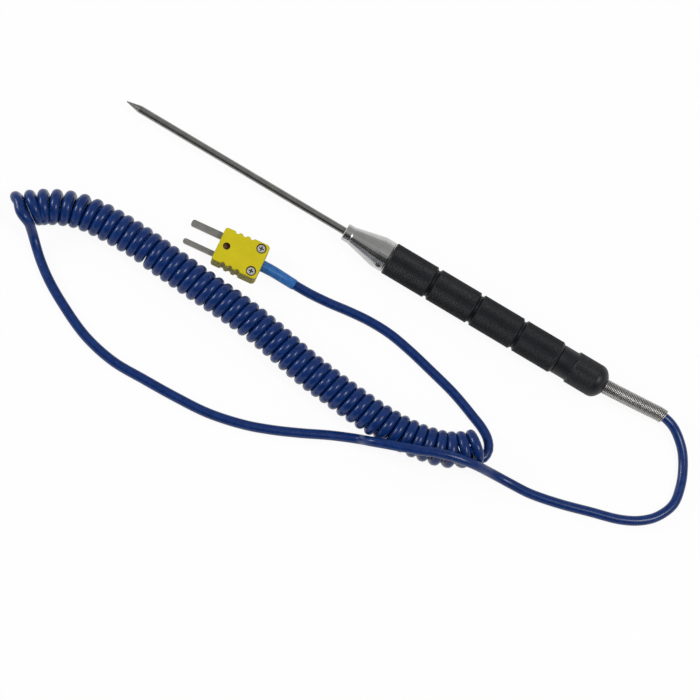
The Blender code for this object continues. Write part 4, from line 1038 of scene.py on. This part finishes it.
# %% Dress every part
SMOOTH_ANGLE = math.radians(32)
SCREWS = ("cover_screw_left", "cover_screw_right")
for part in frame["record"]["subparts"]:
    node = frame["nodes"][part["node"]]
    node.data.materials.clear()
    node.data.materials.append(cover_screw_steel if part["node"] in SCREWS else FINISHES[part["material_slot"]])
    for face in node.data.polygons:
        face.use_smooth = True
    node.data.set_sharp_from_angle(angle=SMOOTH_ANGLE)

REMADE = [
    (cord, FINISHES["cord_blue"]), (spring, FINISHES["spring_steel"]), (grip, FINISHES["grip_black"]),
    (tail, FINISHES["grip_black"]), (eye_shade_disc, painted_shade_brown),
]
for piece, finish in REMADE:
    piece.data.materials.append(finish)

# %% [markdown]
# ## Floor
#
# The photograph's background is plain white with only a breath of shadow. Pouring light on the floor would wash out
# the object, so the floor itself glows white for the camera, for mirrors and for glass, and stays an ordinary pale
# surface for everything else. A part of its plain diffuse side is mixed in, which keeps the object's shadow.

# %% Make the floor
FLOOR_HALF = 1.6
FLOOR_GLOW = 0.93
FLOOR_DROP = 0.0001
FLOOR_CORNERS = [(-1, -1), (1, -1), (1, 1), (-1, 1)]
floor_mesh = bpy.data.meshes.new("floor")
floor_mesh.from_pydata([(FLOOR_HALF * x, FLOOR_HALF * y, 0) for x, y in FLOOR_CORNERS], [], [(0, 1, 2, 3)])
floor = add_object("floor", floor_mesh)
floor.location.z = -FLOOR_DROP

paint = Paint("white_floor")
glow = paint.node("ShaderNodeEmission", {}, {"Color": (1.0, 1.0, 1.0), "Strength": 1.0})
cloth = paint.node("ShaderNodeBsdfDiffuse", {}, {"Color": (0.8, 0.8, 0.8)})
surface = paint.node("ShaderNodeMixShader", {}, {0: paint.looked_at() * FLOOR_GLOW, 1: cloth, 2: glow})
paint.node("ShaderNodeOutputMaterial", {}, {"Surface": surface}, output=None)
floor_mesh.materials.append(paint.material)
print("a floor of", 2 * FLOOR_HALF, "m")

# %% [markdown]
# ## The room
#
# Polished metal shows the room, so the room needs dark and light parts or the metal turns to milk. It is white round
# the horizon. Higher up it is nearly black above the near side, then has one light strip, and is a middle grey above
# the far side: that gives the nose and the needle a light and a dark band. The light that falls on the object is an
# even grey instead, so that the colours come out about as they are written.

# %% Room
ROOM_LIGHT = (0.52, 0.52, 0.52)
WHITE = (1.0, 1.0, 1.0)
HORIZON = [(0.10, 0.0), (0.18, 1.0)]
WALL_TONES = [
    (0.0, 0.02), (0.20, 0.03), (0.27, 0.10), (0.33, 0.52), (0.42, 0.40), (0.62, 0.36), (0.9, 0.44), (1.0, 0.52),
]
world = bpy.data.worlds.new("studio")
bpy.context.scene.world = world
room = Paint("studio", world)
direction = room.node("ShaderNodeTexCoord", output="Generated")
wall_tone = room.ramp(room.part(direction, 1) * 0.5 + 0.5, WALL_TONES)
mirrored_room = room.mix(room.ramp(room.part(direction, 2), HORIZON), WHITE, wall_tone)
tone = room.mix(room.looked_at(), ROOM_LIGHT, mirrored_room)
sky = room.node("ShaderNodeBackground", {}, {"Color": tone, "Strength": 1.0})
room.node("ShaderNodeOutputWorld", {}, {"Surface": sky}, output=None)
print("a room with", len(WALL_TONES), "tones")

# %% [markdown]
# ## Lamps
#
# Two soft boxes give every turn of the cord its pair of small highlights. The right one stands beside the camera.
# The left one stands lower, because from higher up the taper of the nose would mirror it as a white glare. Both are
# weak, because the room does most of the work.

# %% Soft boxes
LAMP_DISTANCE = 1.0
LAMP_SIZE = 0.22
LAMP_POWER = 4.3
LAMPS = {"left_box": (-level_right, math.radians(60)), "right_box": (photo_right, math.radians(35))}


def soft_box(name, place):
    """A square lamp that looks at the middle of the picture."""
    lamp_data = bpy.data.lights.new(name, "AREA")
    lamp_data.shape = "RECTANGLE"
    lamp_data.size = LAMP_SIZE
    lamp_data.size_y = LAMP_SIZE
    lamp_data.energy = LAMP_POWER
    lamp = add_object(name, lamp_data)
    lamp.location = place
    lamp.rotation_euler = (LOOK_AT - place).to_track_quat("-Z", "Y").to_euler()
    return lamp


for name, (sideways, spread) in LAMPS.items():
    lamp = soft_box(name, LOOK_AT + LAMP_DISTANCE * (math.cos(spread) * backward + math.sin(spread) * sideways))
    print(name, "at", in_mm(lamp.location), "mm")
bpy.context.scene.view_settings.view_transform = "Standard"
